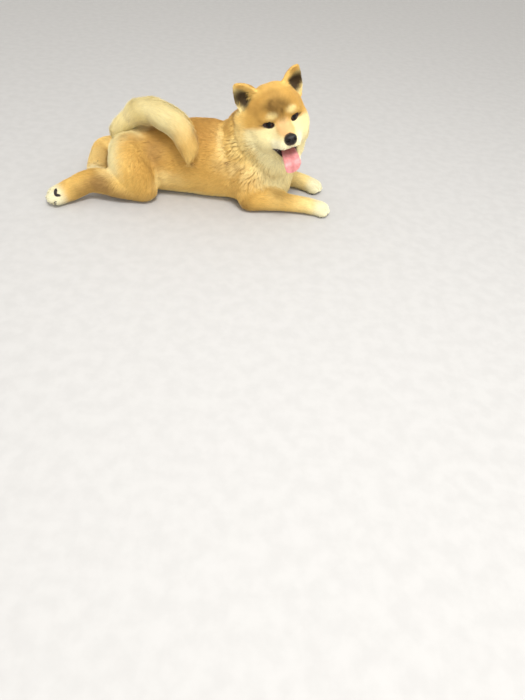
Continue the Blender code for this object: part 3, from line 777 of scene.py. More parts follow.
def lie_of_hair(points, nodes):
    """The way the hair points at each place of the skin, before it is laid along the skin."""
    flow = points - from_head((33.0, 0.0, -14.0))
    ways = {
        "belly": (-1.0, 0.0, -0.30),
        "rump": (-0.85, 0.0, -0.50),
        "thigh_right": (-0.55, -0.10, -0.80),
        "thigh_left": (-0.55, 0.10, -0.80),
    }
    for name, (start, end) in LIMBS.items():
        ways[name] = np.array(end) - np.array(start)
    for side, name in SIDES.items():
        ways["ear_" + name] = HEAD_AXES @ ear_rise(side)[1]
    for name, way in ways.items():
        flow[belongs(nodes, name)] = unit(np.array(way, float))
    flow[belongs(nodes, "hindpaw_left")] = (-0.85, -0.50, -0.30)
    neck = belongs(nodes, "neck")
    flow[neck] = unit(points[neck] - from_head((-8.0, 0.0, 10.0))) + (-0.25, 0.0, -0.10)
    chest = belongs(nodes, "chest")
    flow[chest] = unit(points[chest] - np.array((0.116, -0.020, 0.130))) + (-0.20, 0.0, 0.0)
    line = tail_line()
    ahead = np.gradient(line[:, :3], axis=0)
    tail = belongs(nodes, *TAIL_NODES)
    flow[tail] = ahead[along_tail(points[tail], line)[0]]
    return unit(flow)


def laid(flow, normals):
    """The same ways, laid along the skin."""
    return unit(flow - normals * np.sum(flow * normals, axis=1)[:, None])


def head_style(local):
    """The head's coat: short on the face, longer over the cheeks and the back of the head."""
    front = soft_step(local[:, 0] + 0.25 * local[:, 2], -30.0, 0.0)[:, None]
    return np.array(HEAD_FRONT) * front + np.array(HEAD_BACK) * (1.0 - front)


def styles(points, nodes):
    """Depth, hair length, hair width, tufts to a square millimetre and locks, at each place."""
    made = np.zeros((len(points), 5))
    for index, name in enumerate(NODES):
        here = nodes == index
        if not here.any():
            continue
        if name == "head":
            made[here] = head_style(to_head(points[here]))
            continue
        kind = name if name in COATED else name.split("_")[0]
        made[here] = COATED[kind]
    return made


# The skin


def grown_solid(name, distance):
    """A CAD node's points and faces, its surface moved out by a distance."""
    shape = bmesh.new()
    shape.from_mesh(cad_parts[name].data)
    bmesh.ops.remove_doubles(shape, verts=shape.verts, dist=WELD)
    shape.normal_update()
    points = [v.co + v.normal * distance for v in shape.verts]
    faces = [[v.index for v in f.verts] for f in shape.faces]
    shape.free()
    return points, faces


def outer_mesh(grain):
    """The solids of the body run together into one surface, out at the tips of the coat."""
    points, faces = [], []
    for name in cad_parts:
        if name.startswith("tail_") or name == "tongue":
            continue
        more, corners = grown_solid(name, CUT_FILL)
        faces += [[i + len(points) for i in face] for face in corners]
        points += more
    obj = new_object("outer", mesh_from("outer", points, faces))
    remesh = obj.modifiers.new("skin", "REMESH")
    remesh.mode = "VOXEL"
    remesh.voxel_size = grain
    return largest_part(finished(obj))


def largest_part(mesh):
    """The mesh without the loose bits inside and around its largest part."""
    edges = edges_of(mesh)
    label = np.arange(len(mesh.vertices))
    while True:
        low = label.copy()
        np.minimum.at(low, edges[:, 0], label[edges[:, 1]])
        np.minimum.at(low, edges[:, 1], label[edges[:, 0]])
        low = low[low]
        if (low == label).all():
            break
        label = low
    keep = np.bincount(label).argmax()
    shape = bmesh.new()
    shape.from_mesh(mesh)
    loose = [v for v in shape.verts if label[v.index] != keep]
    bmesh.ops.delete(shape, geom=loose, context="VERTS")
    shape.to_mesh(mesh)
    shape.free()
    return mesh


def nearest_nodes(points):
    """The index in NODES of the CAD node that lies nearest to each point."""
    corners, faces, owner = [], [], []
    for name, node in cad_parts.items():
        if name == "tongue":
            continue
        label = NODES.index(name if name in NODES else "head")
        base = len(corners)
        corners += [v.co for v in node.data.vertices]
        faces += [[base + i for i in p.vertices] for p in node.data.polygons]
        owner += [label] * len(node.data.polygons)
    tree = BVHTree.FromPolygons(corners, faces)
    return np.array([owner[tree.find_nearest(Vector(p))[2]] for p in points])


def tail_core(share):
    """The tail's flesh inside its long hair, from the dock in the rump to near the tip."""
    line = tail_line(5)[:-3]
    along = np.linspace(0.0, 1.0, len(line))
    radius = line[:, 3] * (share + (DOCK_FLESH - share) * soft_step(along, 0.22, 0.02))
    rows = np.vstack([[*TAIL_DOCK, DOCK_RADIUS], np.c_[line[:, :3], radius]])
    rows = smooth_rows(rows, 3)
    ahead = unit(np.gradient(rows[:, :3], axis=0))
    side = unit(np.cross(ahead, (0.0, 1.0, 0.0)))
    up = np.cross(side, ahead)
    rings = [ring(row[:3], row[3], across, over, 20) for row, across, over in zip(rows, side, up)]
    last = rings[-1].mean(0)
    rings.append(last + (rings[-1] - last) * 0.55 + ahead[-1] * rows[-1, 3] * 0.7)
    rings.append(last + (rings[-2] - last) * 0.12 + ahead[-1] * rows[-1, 3] * 0.95)
    mesh = mesh_from("tail_core", *tube(rings))
    shape = bmesh.new()
    shape.from_mesh(mesh)
    bmesh.ops.recalc_face_normals(shape, faces=shape.faces)
    bmesh.ops.triangulate(shape, faces=shape.faces)
    shape.to_mesh(mesh)
    shape.free()
    return mesh


def coat_depth(points, nodes, edges):
    """How far the skin lies inside the tips of the coat, in metres."""
    depth = styles(points, nodes)[:, 0]
    local = to_head(points)
    near_eye = spot(local, (-1.0, 17.0, 0.5), (13.0, 13.0, 9.0), 0.3)
    near_eye = np.maximum(near_eye, spot(local, (-1.0, -17.0, 0.5), (13.0, 13.0, 9.0), 0.3))
    near_mouth = spot(local, (18.0, 0.0, -34.0), (24.0, 24.0, 16.0), 0.3)
    depth = averaged(depth, edges, 14)
    for side in SIDES:
        across, up, ahead, _ = ear_places(local, side)
        near_ear = soft_step(np.abs(across), 1.8, 1.35) * soft_step(up, -0.85, -0.5)
        near_ear *= soft_step(np.abs(ahead), 24.0, 17.0) * (local[:, 1] * side > 6.0)
        depth += (0.7 - depth) * near_ear
    depth += (1.5 - depth) * near_eye
    depth += (1.5 - depth) * near_mouth * belongs(nodes, *HEAD_NODES)
    return averaged(depth, edges, 3) * MM


def shaped_head(points, normals, nodes):
    """Small forms of the face: the furrow between the brows, the brow ridges and the lip folds."""
    local = to_head(points)
    head = belongs(nodes, "head")
    move = np.zeros(len(points))
    furrow = np.exp(-((local[:, 1] / 3.5) ** 2)) * soft_step(local[:, 2], -2.0, 8.0)
    move -= 1.1 * furrow * soft_step(local[:, 2], 38.0, 24.0) * soft_step(local[:, 0], -18.0, -4.0)
    for side in SIDES:
        brow = spot(local, (3.0, side * 15.0, 9.0), (9.0, 9.0, 4.0), 0.7)
        cheek = spot(local, (2.0, side * 19.0, -9.0), (10.0, 9.0, 5.0), 0.8)
        fold = spot(local, (12.0, side * 17.0, -27.5), (12.0, 5.0, 3.0), 0.7)
        move += 1.1 * brow + 0.8 * cheek + 0.9 * fold
    groove = np.exp(-((local[:, 1] / 1.3) ** 2)) * soft_step(local[:, 0], 24.0, 28.0)
    move -= 1.2 * groove * soft_step(local[:, 2], -22.0, -25.0)
    return points + normals * (move * head * MM)[:, None]


def paw_axes(name):
    """The middle of a paw's toes, and the ways it points, faces with its sole and spreads."""
    wrist, toes, sole = (np.array(place) for place in PAWS[name])
    forward, sole = unit(toes - wrist), unit(sole)
    sole = unit(sole - forward * (sole @ forward))
    return toes, forward, sole, np.cross(forward, -sole)


def shaped_paws(points, normals):
    """Furrows between the toes."""
    move = np.zeros(len(points))
    for name in PAWS:
        toes, forward, sole, across = paw_axes(name)
        away = points - toes
        place = away @ across / TOE_SPREAD
        furrow = np.exp(-(((place - np.rint(place)) * TOE_SPREAD / (1.2 * MM)) ** 2)) * (np.abs(place) < 1.5)
        ahead = away @ forward
        furrow *= soft_step(ahead, -4 * MM, 5 * MM) * (np.abs(ahead) < 25 * MM)
        move -= 1.9 * MM * furrow * (np.abs(away @ sole) < 16 * MM)
    return points + normals * move[:, None]


def skin_mesh(grain, rounds):
    """One skin for the whole puppy, inside its coat by the coat's depth."""
    outer = outer_mesh(grain)
    points, edges = points_of(outer), edges_of(outer)
    nodes = nearest_nodes(points)
    local = to_head(points)
    firm = belongs(nodes, *EAR_NODES).astype(float)
    firm = np.maximum(firm, spot(local, (20.0, 0.0, -33.0), (24.0, 24.0, 14.0), 0.3))
    firm = np.maximum(firm, (points[:, 2] < 3 * MM) * 0.5)
    firm = averaged(firm, edges, 3)
    for _ in range(rounds):
        points += (averaged(points, edges, 1) - points) * (0.85 - 0.65 * firm)[:, None]
    set_points(outer, points)
    normals = normals_of(outer)
    depth = coat_depth(points, nodes, edges) + CUT_FILL
    points = points - normals * depth[:, None]
    points += (averaged(points, edges, 2) - points) * 0.5 * (1.0 - firm)[:, None]
    set_points(outer, points)
    points = shaped_head(points, normals_of(outer), nodes)
    set_points(outer, points)
    points = shaped_paws(points, normals_of(outer))
    set_points(outer, points)

    tail = tail_core(TAIL_FLESH)
    body_obj, tail_obj = new_object("body", outer), new_object("tail", tail)
    union = body_obj.modifiers.new("tail", "BOOLEAN")
    union.operation = "UNION"
    union.solver = "MANIFOLD"
    union.object = tail_obj
    fewer = body_obj.modifiers.new("fewer", "DECIMATE")
    fewer.ratio = min(1.0, MOST_SKIN_FACES / (2 * len(outer.polygons) + len(tail.polygons)))
    mesh = finished(body_obj)
    bpy.data.objects.remove(tail_obj, do_unlink=True)

    # the node and the coat's depth go with each point of the joined skin
    tail_points = points_of(tail)
    line = tail_line()
    step, away = along_tail(tail_points, line)
    tail_room = np.maximum(line[step, 3] - away, LEAST_TAIL_COAT)
    lengths = np.array([NODES.index(name) for name in TAIL_NODES])
    tail_nodes = lengths[np.searchsorted(TAIL_JOINS, step / (len(line) - 1.0), "right")]
    known = np.vstack([points, tail_points])
    known_nodes = np.concatenate([nodes, tail_nodes])
    known_room = np.concatenate([depth, tail_room])
    tree = KDTree(len(known))
    for index, point in enumerate(known):
        tree.insert(point, index)
    tree.balance()
    nearest = np.array([tree.find(v.co)[1] for v in mesh.vertices])
    return mesh, known_nodes[nearest], known_room[nearest]


# Materials


def material(name, **values):
    """A new material with these settings on its Principled shader, and its node tree."""
    made = bpy.data.materials.new(name)
    made.use_nodes = True
    shader = made.node_tree.nodes["Principled BSDF"]
    for key, value in values.items():
        shader.inputs[key.replace("_", " ")].default_value = value
    return made, made.node_tree, shader


def node(tree, kind, **settings):
    """A new shader node with these settings, inputs or both."""
    made = tree.nodes.new("ShaderNode" + kind)
    for key, value in settings.items():
        if hasattr(made, key):
            setattr(made, key, value)
        else:
            made.inputs[key.replace("_", " ")].default_value = value
    return made


def new_group(name, inputs, outputs):
    """An empty shader group with named inputs (kind, default) and outputs."""
    group = bpy.data.node_groups.get(name)
    if group is not None:
        bpy.data.node_groups.remove(group)
    group = bpy.data.node_groups.new(name, "ShaderNodeTree")
    for label, (kind, default) in inputs.items():
        socket = group.interface.new_socket(label, in_out="INPUT", socket_type="NodeSocket" + kind)
        socket.default_value = default
    for label, kind in outputs.items():
        group.interface.new_socket(label, in_out="OUTPUT", socket_type="NodeSocket" + kind)
    return group, group.nodes.new("NodeGroupInput"), group.nodes.new("NodeGroupOutput")


def math_node(tree, operation, first, second=None, clamp=False):
    """A sum of one or two sockets or plain numbers."""
    made = tree.nodes.new("ShaderNodeMath")
    made.operation = operation
    made.use_clamp = clamp
    for socket, value in zip(made.inputs, (first, second)):
        if value is None:
            continue
        if isinstance(value, (int, float)):
            socket.default_value = value
        else:
            tree.links.new(value, socket)
    return made.outputs[0]


def mixed(tree, share, first, second, kind="MIX"):
    """A colour mix whose share and colours are sockets or plain values."""
    made = tree.nodes.new("ShaderNodeMix")
    made.data_type = "RGBA"
    made.blend_type = kind
    for socket, value in zip((made.inputs[0], made.inputs[6], made.inputs[7]), (share, first, second)):
        if isinstance(value, (int, float)):
            socket.default_value = value
        elif isinstance(value, (tuple, list, np.ndarray)):
            socket.default_value = (*[float(v) for v in value], 1.0)
        else:
            tree.links.new(value, socket)
    return made.outputs[2]


def read(tree, name, output="Color"):
    """The socket of a value stored at the mesh's points."""
    return node(tree, "Attribute", attribute_name=name).outputs[output]


def texture(tree, kind, **settings):
    """A texture laid out in the puppy's own space."""
    made = node(tree, kind, **settings)
    tree.links.new(node(tree, "NewGeometry").outputs["Position"], made.inputs["Vector"])
    return made


def hair_tone_and_root_shade_group():
    """The tone of a hair: painted shade darkens it towards its root, so it is paler at its tip, and each hair
    is its own.
    """
    group, given, result = new_group(
        "Hair tone and root shade",
        {
            "Marking": ("Color", (0.6, 0.4, 0.15, 1.0)),
            "Along": ("Float", 0.5),
            "Own": ("Float", 0.5),
            "Root shade": ("Float", 0.7),
            "Spread": ("Float", 0.2),
        },
        {"Color": "Color", "Roughness": "Float"},
    )
    tree = group
    speck = texture(tree, "TexNoise", Scale=900.0, Detail=2.0)
    lightness = math_node(tree, "SUBTRACT", given.outputs["Own"], 0.5)
    lightness = math_node(tree, "MULTIPLY", lightness, given.outputs["Spread"])
    fine = math_node(tree, "MULTIPLY", math_node(tree, "SUBTRACT", speck.outputs[0], 0.5), 0.25)
    lightness = math_node(tree, "ADD", math_node(tree, "ADD", lightness, fine), 1.0)
    root = math_node(tree, "SUBTRACT", 1.0, given.outputs["Along"])
    root = math_node(tree, "POWER", root, 1.6)
    toned = node(tree, "HueSaturation", Saturation=1.0)
    tree.links.new(lightness, toned.inputs["Value"])
    tree.links.new(given.outputs["Marking"], toned.inputs["Color"])
    # painted shade deep in the coat: the root shade darkens the hair towards its root
    dark = mixed(tree, 1.0, toned.outputs[0], (0.62, 0.52, 0.42), "MULTIPLY")
    share = math_node(tree, "MULTIPLY", root, given.outputs["Root shade"])
    tree.links.new(mixed(tree, share, toned.outputs[0], dark), result.inputs["Color"])
    rough = math_node(tree, "MULTIPLY", given.outputs["Own"], 0.12)
    tree.links.new(math_node(tree, "ADD", rough, 0.56), result.inputs["Roughness"])
    return group


def moist_grain_group():
    """The pebbled grain of nose and pad leather: a height, a gloss that breaks up over it, and a shade that
    the leather paints as light on the pebbles and shade between them.
    """
    group, given, result = new_group(
        "Leather grain",
        {"Size": ("Float", 900.0), "Wetness": ("Float", 0.5)},
        {"Height": "Float", "Roughness": "Float", "Shade": "Float"},
    )
    tree = group
    cells = texture(tree, "TexVoronoi", feature="SMOOTH_F1", Smoothness=0.6)
    noise = texture(tree, "TexNoise", Detail=3.0)
    tree.links.new(given.outputs["Size"], cells.inputs["Scale"])
    tree.links.new(math_node(tree, "MULTIPLY", given.outputs["Size"], 0.35), noise.inputs["Scale"])
    pebble = math_node(tree, "SUBTRACT", 1.0, cells.outputs["Distance"])
    height = math_node(tree, "ADD", pebble, math_node(tree, "MULTIPLY", noise.outputs[0], 0.4))
    tree.links.new(height, result.inputs["Height"])
    dry = math_node(tree, "SUBTRACT", 1.0, given.outputs["Wetness"])
    rough = math_node(tree, "ADD", math_node(tree, "MULTIPLY", noise.outputs[0], 0.35), 0.12)
    rough = math_node(tree, "ADD", rough, math_node(tree, "MULTIPLY", dry, 0.35), True)
    tree.links.new(rough, result.inputs["Roughness"])
    tree.links.new(cells.outputs["Distance"], result.inputs["Shade"])
    return group


def placed_group(tree, group, **values):
    """A shader group placed in a material with its own values."""
    made = tree.nodes.new("ShaderNodeGroup")
    made.node_tree = group
    for key, value in values.items():
        socket = made.inputs[key.replace("_", " ")]
        if isinstance(value, (int, float)):
            socket.default_value = value
        else:
            tree.links.new(value, socket)
    return made


def bump(tree, shader, height, distance, strength=1.0):
    """Small relief on the shader from a height."""
    made = node(tree, "Bump", Strength=strength, Distance=distance)
    tree.links.new(height, made.inputs["Height"])
    tree.links.new(made.outputs[0], shader.inputs["Normal"])


def coat_material(tone):
    """Hair in the colours of the markings, with a little sheen."""
    made, tree, shader = material(
        "coat_hair", Specular_IOR_Level=0.15, Sheen_Weight=0.08, Sheen_Roughness=0.45
    )
    # the root shade paints shade on each tuft towards its root, as if deep in the coat
    group = placed_group(
        tree,
        tone,
        Marking=read(tree, "marking"),
        Along=read(tree, "along", "Fac"),
        Own=read(tree, "own", "Fac"),
        Root_shade=0.30,
        Spread=0.24,
    )
    tree.links.new(group.outputs["Color"], shader.inputs["Base Color"])
    tree.links.new(group.outputs["Roughness"], shader.inputs["Roughness"])
    return made


def skin_material(tone):
    """Down under the coat, with painted shade that darkens it as if deep under the hair, and the bare dark
    lining of mouth and ears; the mouth's near black is partly its own dark skin, partly painted shade.
    """
    made, tree, shader = material("skin_and_down", Specular_IOR_Level=0.3)
    down = texture(tree, "TexNoise", Scale=420.0, Detail=4.0, Roughness=0.7)
    # painted shade: the down is darkened as if lying deep under the hair
    group = placed_group(
        tree, tone, Marking=read(tree, "marking"), Along=0.35, Own=down.outputs[0], Root_shade=0.5, Spread=0.5
    )
    bareness = read(tree, "bareness", "Fac")
    colour = mixed(tree, bareness, group.outputs["Color"], read(tree, "flesh"))
    tree.links.new(colour, shader.inputs["Base Color"])
    wet = math_node(tree, "MULTIPLY", bareness, -0.38)
    rough = math_node(tree, "ADD", group.outputs["Roughness"], wet)
    tree.links.new(math_node(tree, "ADD", rough, 0.15), shader.inputs["Roughness"])
    height = math_node(tree, "MULTIPLY", down.outputs[0], math_node(tree, "SUBTRACT", 1.05, bareness))
    bump(tree, shader, height, 0.0008, 0.8)
    return made


# Tufts


def sampled(mesh, density, draw):
    """Roots spread over the skin at a density per square millimetre: face corners and their shares."""
    mesh.calc_loop_triangles()
    corners = numbers_of(mesh.loop_triangles, "vertices", 3, np.int64)
    points = points_of(mesh)
    a, b, c = (points[corners[:, k]] for k in range(3))
    area = np.linalg.norm(np.cross(b - a, c - a), axis=1) / 2 / MM**2
    reach = np.cumsum(area * density[corners].mean(axis=1))
    count = int(reach[-1])
    aim = (np.arange(count) + draw.random(count)) * reach[-1] / count
    picked = corners[np.clip(np.searchsorted(reach, aim), 0, len(reach) - 1)]
    first, second = draw.random((2, count))
    flip = first + second > 1.0
    first[flip], second[flip] = 1.0 - first[flip], 1.0 - second[flip]
    return picked, np.stack([1.0 - first - second, first, second], 1)


def at_roots(values, picked, shares):
    """Values of the skin at the roots, from the corners of their faces."""
    values = values[picked]
    return np.einsum("ij,ij...->i...", shares, values)


def patch_places(roots, nodes):
    """Each root's place on an unwrap of the skin: round and along each length of the body."""
    flat = np.zeros((len(roots), 2))
    present = np.unique(nodes)
    for row, index in enumerate(present):
        here = nodes == index
        middle = roots[here].mean(axis=0)
        away = roots[here] - middle
        axes = np.linalg.svd(away[:: max(1, len(away) // 4000)], full_matrices=False)[2]
        along = away @ axes[0]
        turn = np.arctan2(away @ axes[2], away @ axes[1]) / (2 * math.pi) + 0.5
        low, high = along.min(), along.max()
        share = (along - low) / max(high - low, 1e-6)
        flat[here, 0] = 0.004 + 0.992 * turn
        flat[here, 1] = (row + 0.01 + 0.98 * share) / len(present)
    return flat


def tuft_mesh(name, tufts):
    """Solid tufts joined in one mesh: each a point in the skin, a bend at its widest, and a fine tip."""
    roots, normals, bends, tips = (tufts[k] for k in ("root", "normal", "bend", "tip"))
    count = len(roots)
    way = unit(tips - roots)
    side = unit(np.cross(normals, way))
    over = np.cross(way, side)
    half = tufts["width"][:, None] / 2
    points = np.stack(
        [roots, bends + side * half, bends + over * half * TUFT_FLATNESS, bends - side * half, tips], axis=1
    )
    points[:, :, 2] = np.maximum(points[:, :, 2], HAIR_GAP)
    faces = (np.arange(count)[:, None, None] * TUFT_CORNERS + np.array(TUFT_FACES)[None]).reshape(-1, 3)
    mesh = bpy.data.meshes.new(name)
    mesh.vertices.add(count * TUFT_CORNERS)
    mesh.vertices.foreach_set("co", points.ravel())
    mesh.loops.add(len(faces) * 3)
    mesh.loops.foreach_set("vertex_index", faces.ravel())
    mesh.polygons.add(len(faces))
    mesh.polygons.foreach_set("loop_start", np.arange(len(faces)) * 3)
    mesh.update(calc_edges=True)
    store(mesh, "marking", np.repeat(tufts["colour"], TUFT_CORNERS, axis=0), "FLOAT_COLOR")
    store(mesh, "along", np.tile([0.0, 0.45, 0.45, 0.45, 1.0], count))
    store(mesh, "own", np.repeat(tufts["own"], TUFT_CORNERS))
    # each tuft is a small patch of the coat's unwrap, round its root's place
    centre = np.repeat(patch_places(roots, tufts["node"]), TUFT_CORNERS, axis=0)
    patch = np.array([(0, -1), (-1, 0), (0, 0), (1, 0), (0, 1)]) * HALF_PATCH
    place = centre + np.tile(patch, (count, 1))
    layer = mesh.uv_layers.new(name="OFBake")
    layer.data.foreach_set("uv", place[faces.ravel()].astype(np.float32).ravel())
    mesh.shade_smooth()
    # above, the light falls on a tuft much as on the coat around it, and below on its own faces
    own_way = np.stack([side * 0.0, side, over, -side, way * 0.3], axis=1)
    above = unit(normals * 0.45 + over * 0.55)
    upper = unit(own_way * 0.30 + above[:, None] * 0.95)
    lower = unit(own_way * 0.45 - over[:, None] * 0.80)
    corners = [
        (lower if face in UNDER_FACES else upper)[:, list(turns)] for face, turns in enumerate(TUFT_FACES)
    ]
    corners = np.stack(corners, axis=1)
    mesh.normals_split_custom_set(corners.reshape(-1, 3))
    return mesh


def bent_tufts(facts, surface, settings, draw):
    """The bend and the tip of each tuft, from its root, the lie of the coat and its locks."""
    roots, normals, flow, room, length, lock = (
        facts[k] for k in ("root", "normal", "flow", "room", "length", "lock")
    )
    count = len(roots)
    side = np.cross(normals, flow)
    sway = 0.32 * smooth_noise(roots, 0.011, 21) + 0.22 * smooth_noise(roots, 0.028, 22)
    sway = sway * (0.5 + 0.5 * soft_step(length, 4 * MM, 12 * MM)) + draw.normal(0.0, 0.13, count)
    way = unit(flow + side * sway[:, None])
    length = length * settings.length * (1.0 + 0.22 * draw.normal(0.0, 1.0, count).clip(-2, 2))
    rise = room * (0.86 + 0.26 * draw.random(count)) * (0.9 + 0.16 * smooth_noise(roots, 0.014, 23))
    rise = np.minimum(rise, length * 0.85)
    reach = np.sqrt(np.maximum(length**2 - rise**2, (0.3 * length) ** 2))
    tips = roots + way * reach[:, None] + normals * rise[:, None]
    # tufts run together into locks
    chosen = draw.permutation(count)[: max(1, int(count / settings.lock_size))]
    tree = KDTree(len(chosen))
    for index in chosen:
        tree.insert(roots[index] + way[index] * reach[index] * 0.2, index)
    tree.balance()
    leader = np.array([tree.find(p)[1] for p in roots + way * (reach * 0.2)[:, None]])
    apart = np.linalg.norm(roots - roots[leader], axis=1)
    pull = lock * soft_step(apart, 9 * MM, 3 * MM)
    pull *= (flow * flow[leader]).sum(axis=1) > 0.5
    tips += (tips[leader] - tips) * pull[:, None]
    tips = within_outline(tips, surface, facts["spare"])
    bends = roots + (tips - roots) * 0.42 + normals * (rise * 0.22)[:, None]
    return bends, tips


def within_outline(tips, surface, spare):
    """Tips no further out than the solids' outline and each tuft's spare."""
    tips = tips.copy()
    for index, tip in enumerate(tips):
        near, facing, _, away = surface.find_nearest(Vector(tip))
        if away > spare[index] and (Vector(tip) - near).dot(facing) > 0.0:
            tips[index] = near + (Vector(tip) - near) * (spare[index] / away)
    return tips


def outline_tree():
    """The outline of the solids, which are as big as the coat, for tips to end at."""
    return tree_of(outer_mesh(OUTLINE_GRAIN), tail_core(TAIL_OUTLINE))


def grow_coat(skin, settings):
    """Grow the whole coat on the skin, a piece for each region of the body."""
    mesh = skin.data
    draw = np.random.default_rng(settings.seed)
    points, normals = points_of(mesh), normals_of(mesh)
    nodes = np.rint(stored(mesh, "length_of_body")).astype(int)
    edges = edges_of(mesh)
    style = averaged(styles(points, nodes), edges, 10)
    room = averaged(stored(mesh, "coat_room"), edges, 4)
    room *= 1.0 - 0.65 * in_ruff_fold(points, 0.0060)
    flow = laid(lie_of_hair(points, nodes), normals)
    for _ in range(3):
        flow = laid(averaged(flow, edges, 8), normals)
    none = averaged(stored(mesh, "hairless"), edges, 1)
    local, turned = to_head(points), normals @ HEAD_AXES
    density = style[:, 3] * settings.density * (1.0 - soft_step(none, 0.15, 0.5))
    length = style[:, 1] * MM
    under = soft_step(points[:, 2], 9 * MM, 4 * MM) * soft_step(-normals[:, 2], 0.5, 0.9)
    density *= 1.0 - 0.80 * under
    length *= 1.0 - 0.45 * under
    near_eye = soft_step(in_eye_opening(local, 2.1), 0.0, 0.9)
    length *= 1.0 - 0.45 * near_eye
    near_nose = np.linalg.norm((local - NOSE_PLACE) / (15.0, 15.0, 14.0), axis=1)
    length *= 0.55 + 0.45 * soft_step(near_nose, 0.7, 1.25)
    for side in SIDES:
        across, up, inner = on_ear(local, turned, side)
        density *= 1.0 - 0.15 * inner
        fringe = inner * soft_step(across, -0.25, -0.6) * soft_step(up, 0.75, 0.3)
        length += fringe * 6.5 * MM
        outward = (EAR_OUTER - EAR_INNER) * (1, side, 1)
        lean = HEAD_AXES @ (unit(outward) * 0.9 + unit(EAR_TIP[side] * (1, side, 1)) * 0.6)
        flow = unit(flow + lean * fringe[:, None] * 1.5)
    picked, shares = sampled(mesh, density, draw)
    facts = {
        "root": at_roots(points, picked, shares),
        "normal": unit(at_roots(normals, picked, shares)),
        "room": at_roots(room, picked, shares),
        "length": at_roots(length, picked, shares),
        "width": at_roots(style[:, 2], picked, shares) * MM * settings.width,
        "lock": at_roots(style[:, 4], picked, shares) * settings.locks,
    }
    facts["flow"] = laid(at_roots(flow, picked, shares), facts["normal"])
    owner = nodes[picked[np.arange(len(picked)), shares.argmax(axis=1)]]
    facts["spare"] = (0.2 + 1.6 * draw.random(len(picked)) ** 2) * facts["width"] * 1.4
    # longer loose hair round the root of the tail, along the tail, and in the ruff's scruffy locks
    seat = spot(facts["root"], (-0.098, 0.002, 0.090), (0.026, 0.028, 0.020), 0.6)
    tail = belongs(owner, *TAIL_NODES)
    ruff = spot(facts["root"], (0.090, -0.044, 0.084), (0.038, 0.028, 0.042), 0.6)
    clump = smooth_noise(facts["root"], 0.007, 41)
    facts["room"] *= 1.0 + 1.4 * seat + ruff * (0.30 + 0.65 * clump)
    facts["length"] *= 1.0 + 0.4 * seat
    facts["lock"] = np.clip(facts["lock"] + 0.35 * ruff, 0.0, 0.85)
    loose = draw.random(len(picked)) ** 3
    facts["spare"] += (7.0 * seat + 3.5 * tail * loose + 3.0 * ruff * np.clip(clump, 0.0, 1.0)) * MM
    bends, tips = bent_tufts(facts, outline_tree(), settings, draw)
    keep = clear_of_features(bends, tips, owner)
    tufts = {
        "root": facts["root"] - facts["normal"] * 0.5 * MM,
        "normal": facts["normal"],
        "bend": bends,
        "tip": tips,
        "width": facts["width"] * (0.8 + 0.4 * draw.random(len(tips))),
        "colour": at_roots(stored(mesh, "marking"), picked, shares),
        "own": draw.random(len(tips)),
        "node": owner,
    }
    # painted shade on the tufts in the folds of the ruff
    fold = 0.85 * in_ruff_fold(facts["root"], 0.0045)
    tufts["colour"][:, :3] = blend(tufts["colour"][:, :3], PAINTED_SHADE_BROWN * 0.7, fold)
    groups = {name: belongs(owner, *of) for name, of in COAT_PIECES.items()}
    head = belongs(owner, *HEAD_NODES)
    front = to_head(facts["root"])[:, 0] > FACE_REACH
    groups["coat_face"] = head & front
    groups["coat_cheeks_and_crown"] = head & ~front
    made = []
    for name in sorted(groups):
        chosen = np.flatnonzero(groups[name] & keep)
        halves = [("", chosen)]
        if len(chosen) > MOST_TUFTS:
            right = facts["root"][chosen, 1] < np.median(facts["root"][chosen, 1])
            halves = [("_right", chosen[right]), ("_left", chosen[~right])]
        for ending, part in halves:
            mesh = tuft_mesh(name + ending, {key: values[part] for key, values in tufts.items()})
            made.append((name + ending, mesh))
    return made


def clear_of_features(bends, tips, nodes):
    """False for a tuft that would lie over an eye, the nose, the tongue or the open mouth."""
    keep = np.ones(len(nodes), bool)
    head = belongs(nodes, *HEAD_NODES, "neck", "chest")
    for places in (bends, tips):
        local = to_head(places)
        keep &= ~(head & (in_eye_opening(local, 1.02) > 0.0))
        nose = np.linalg.norm((local - NOSE_PLACE) / (8.6, 9.0, 8.2), axis=1)
        keep &= ~(head & (nose < 0.97))
        keep &= ~(head & in_open_mouth(local))
    tree = tree_of(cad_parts["tongue"].data)
    low, high = (np.array(c) - 2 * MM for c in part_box("tongue"))
    high = high + 4 * MM
    for places in (bends, tips):
        near = np.flatnonzero(head & ((places > low) & (places < high)).all(axis=1))
        for index in near:
            spot_on, normal, _, away = tree.find_nearest(Vector(places[index]))
            inside = (Vector(places[index]) - spot_on).dot(normal) < 0.0
            if inside or away < 1.0 * MM:
                keep[index] = False
    return keep


# Eyes, lids, nose, tongue, whiskers, pads and claws


def eyeball_mesh(side, radius):
    """An eyeball with its bulging cornea, turned to look where the puppy looks."""
    centre, gaze, outward, upward = eye_axes(side)
    rings, turns = 44, 56
    points, angles, round_pupil = [], [], []
    for i in range(rings + 1):
        polar = math.pi * i / rings
        bulge = 0.55 * soft_step(np.array(polar), 0.78, 0.35)
        for j in range(turns):
            turn = 2 * math.pi * j / turns
            way = gaze * math.cos(polar) + math.sin(polar) * (
                outward * math.cos(turn) + upward * math.sin(turn)
            )
            points.append(centre + way * (radius + bulge))
            angles.append(polar)
            round_pupil.append((math.cos(turn), math.sin(turn), polar * 0.4))
    mesh = mesh_from("eyeball", from_head(points), band_faces(rings + 1, turns))
    store(mesh, "from_pupil", np.degrees(angles))
    store(mesh, "round_pupil", np.array(round_pupil), "FLOAT_VECTOR")
    return cleaned(mesh, weld=True)


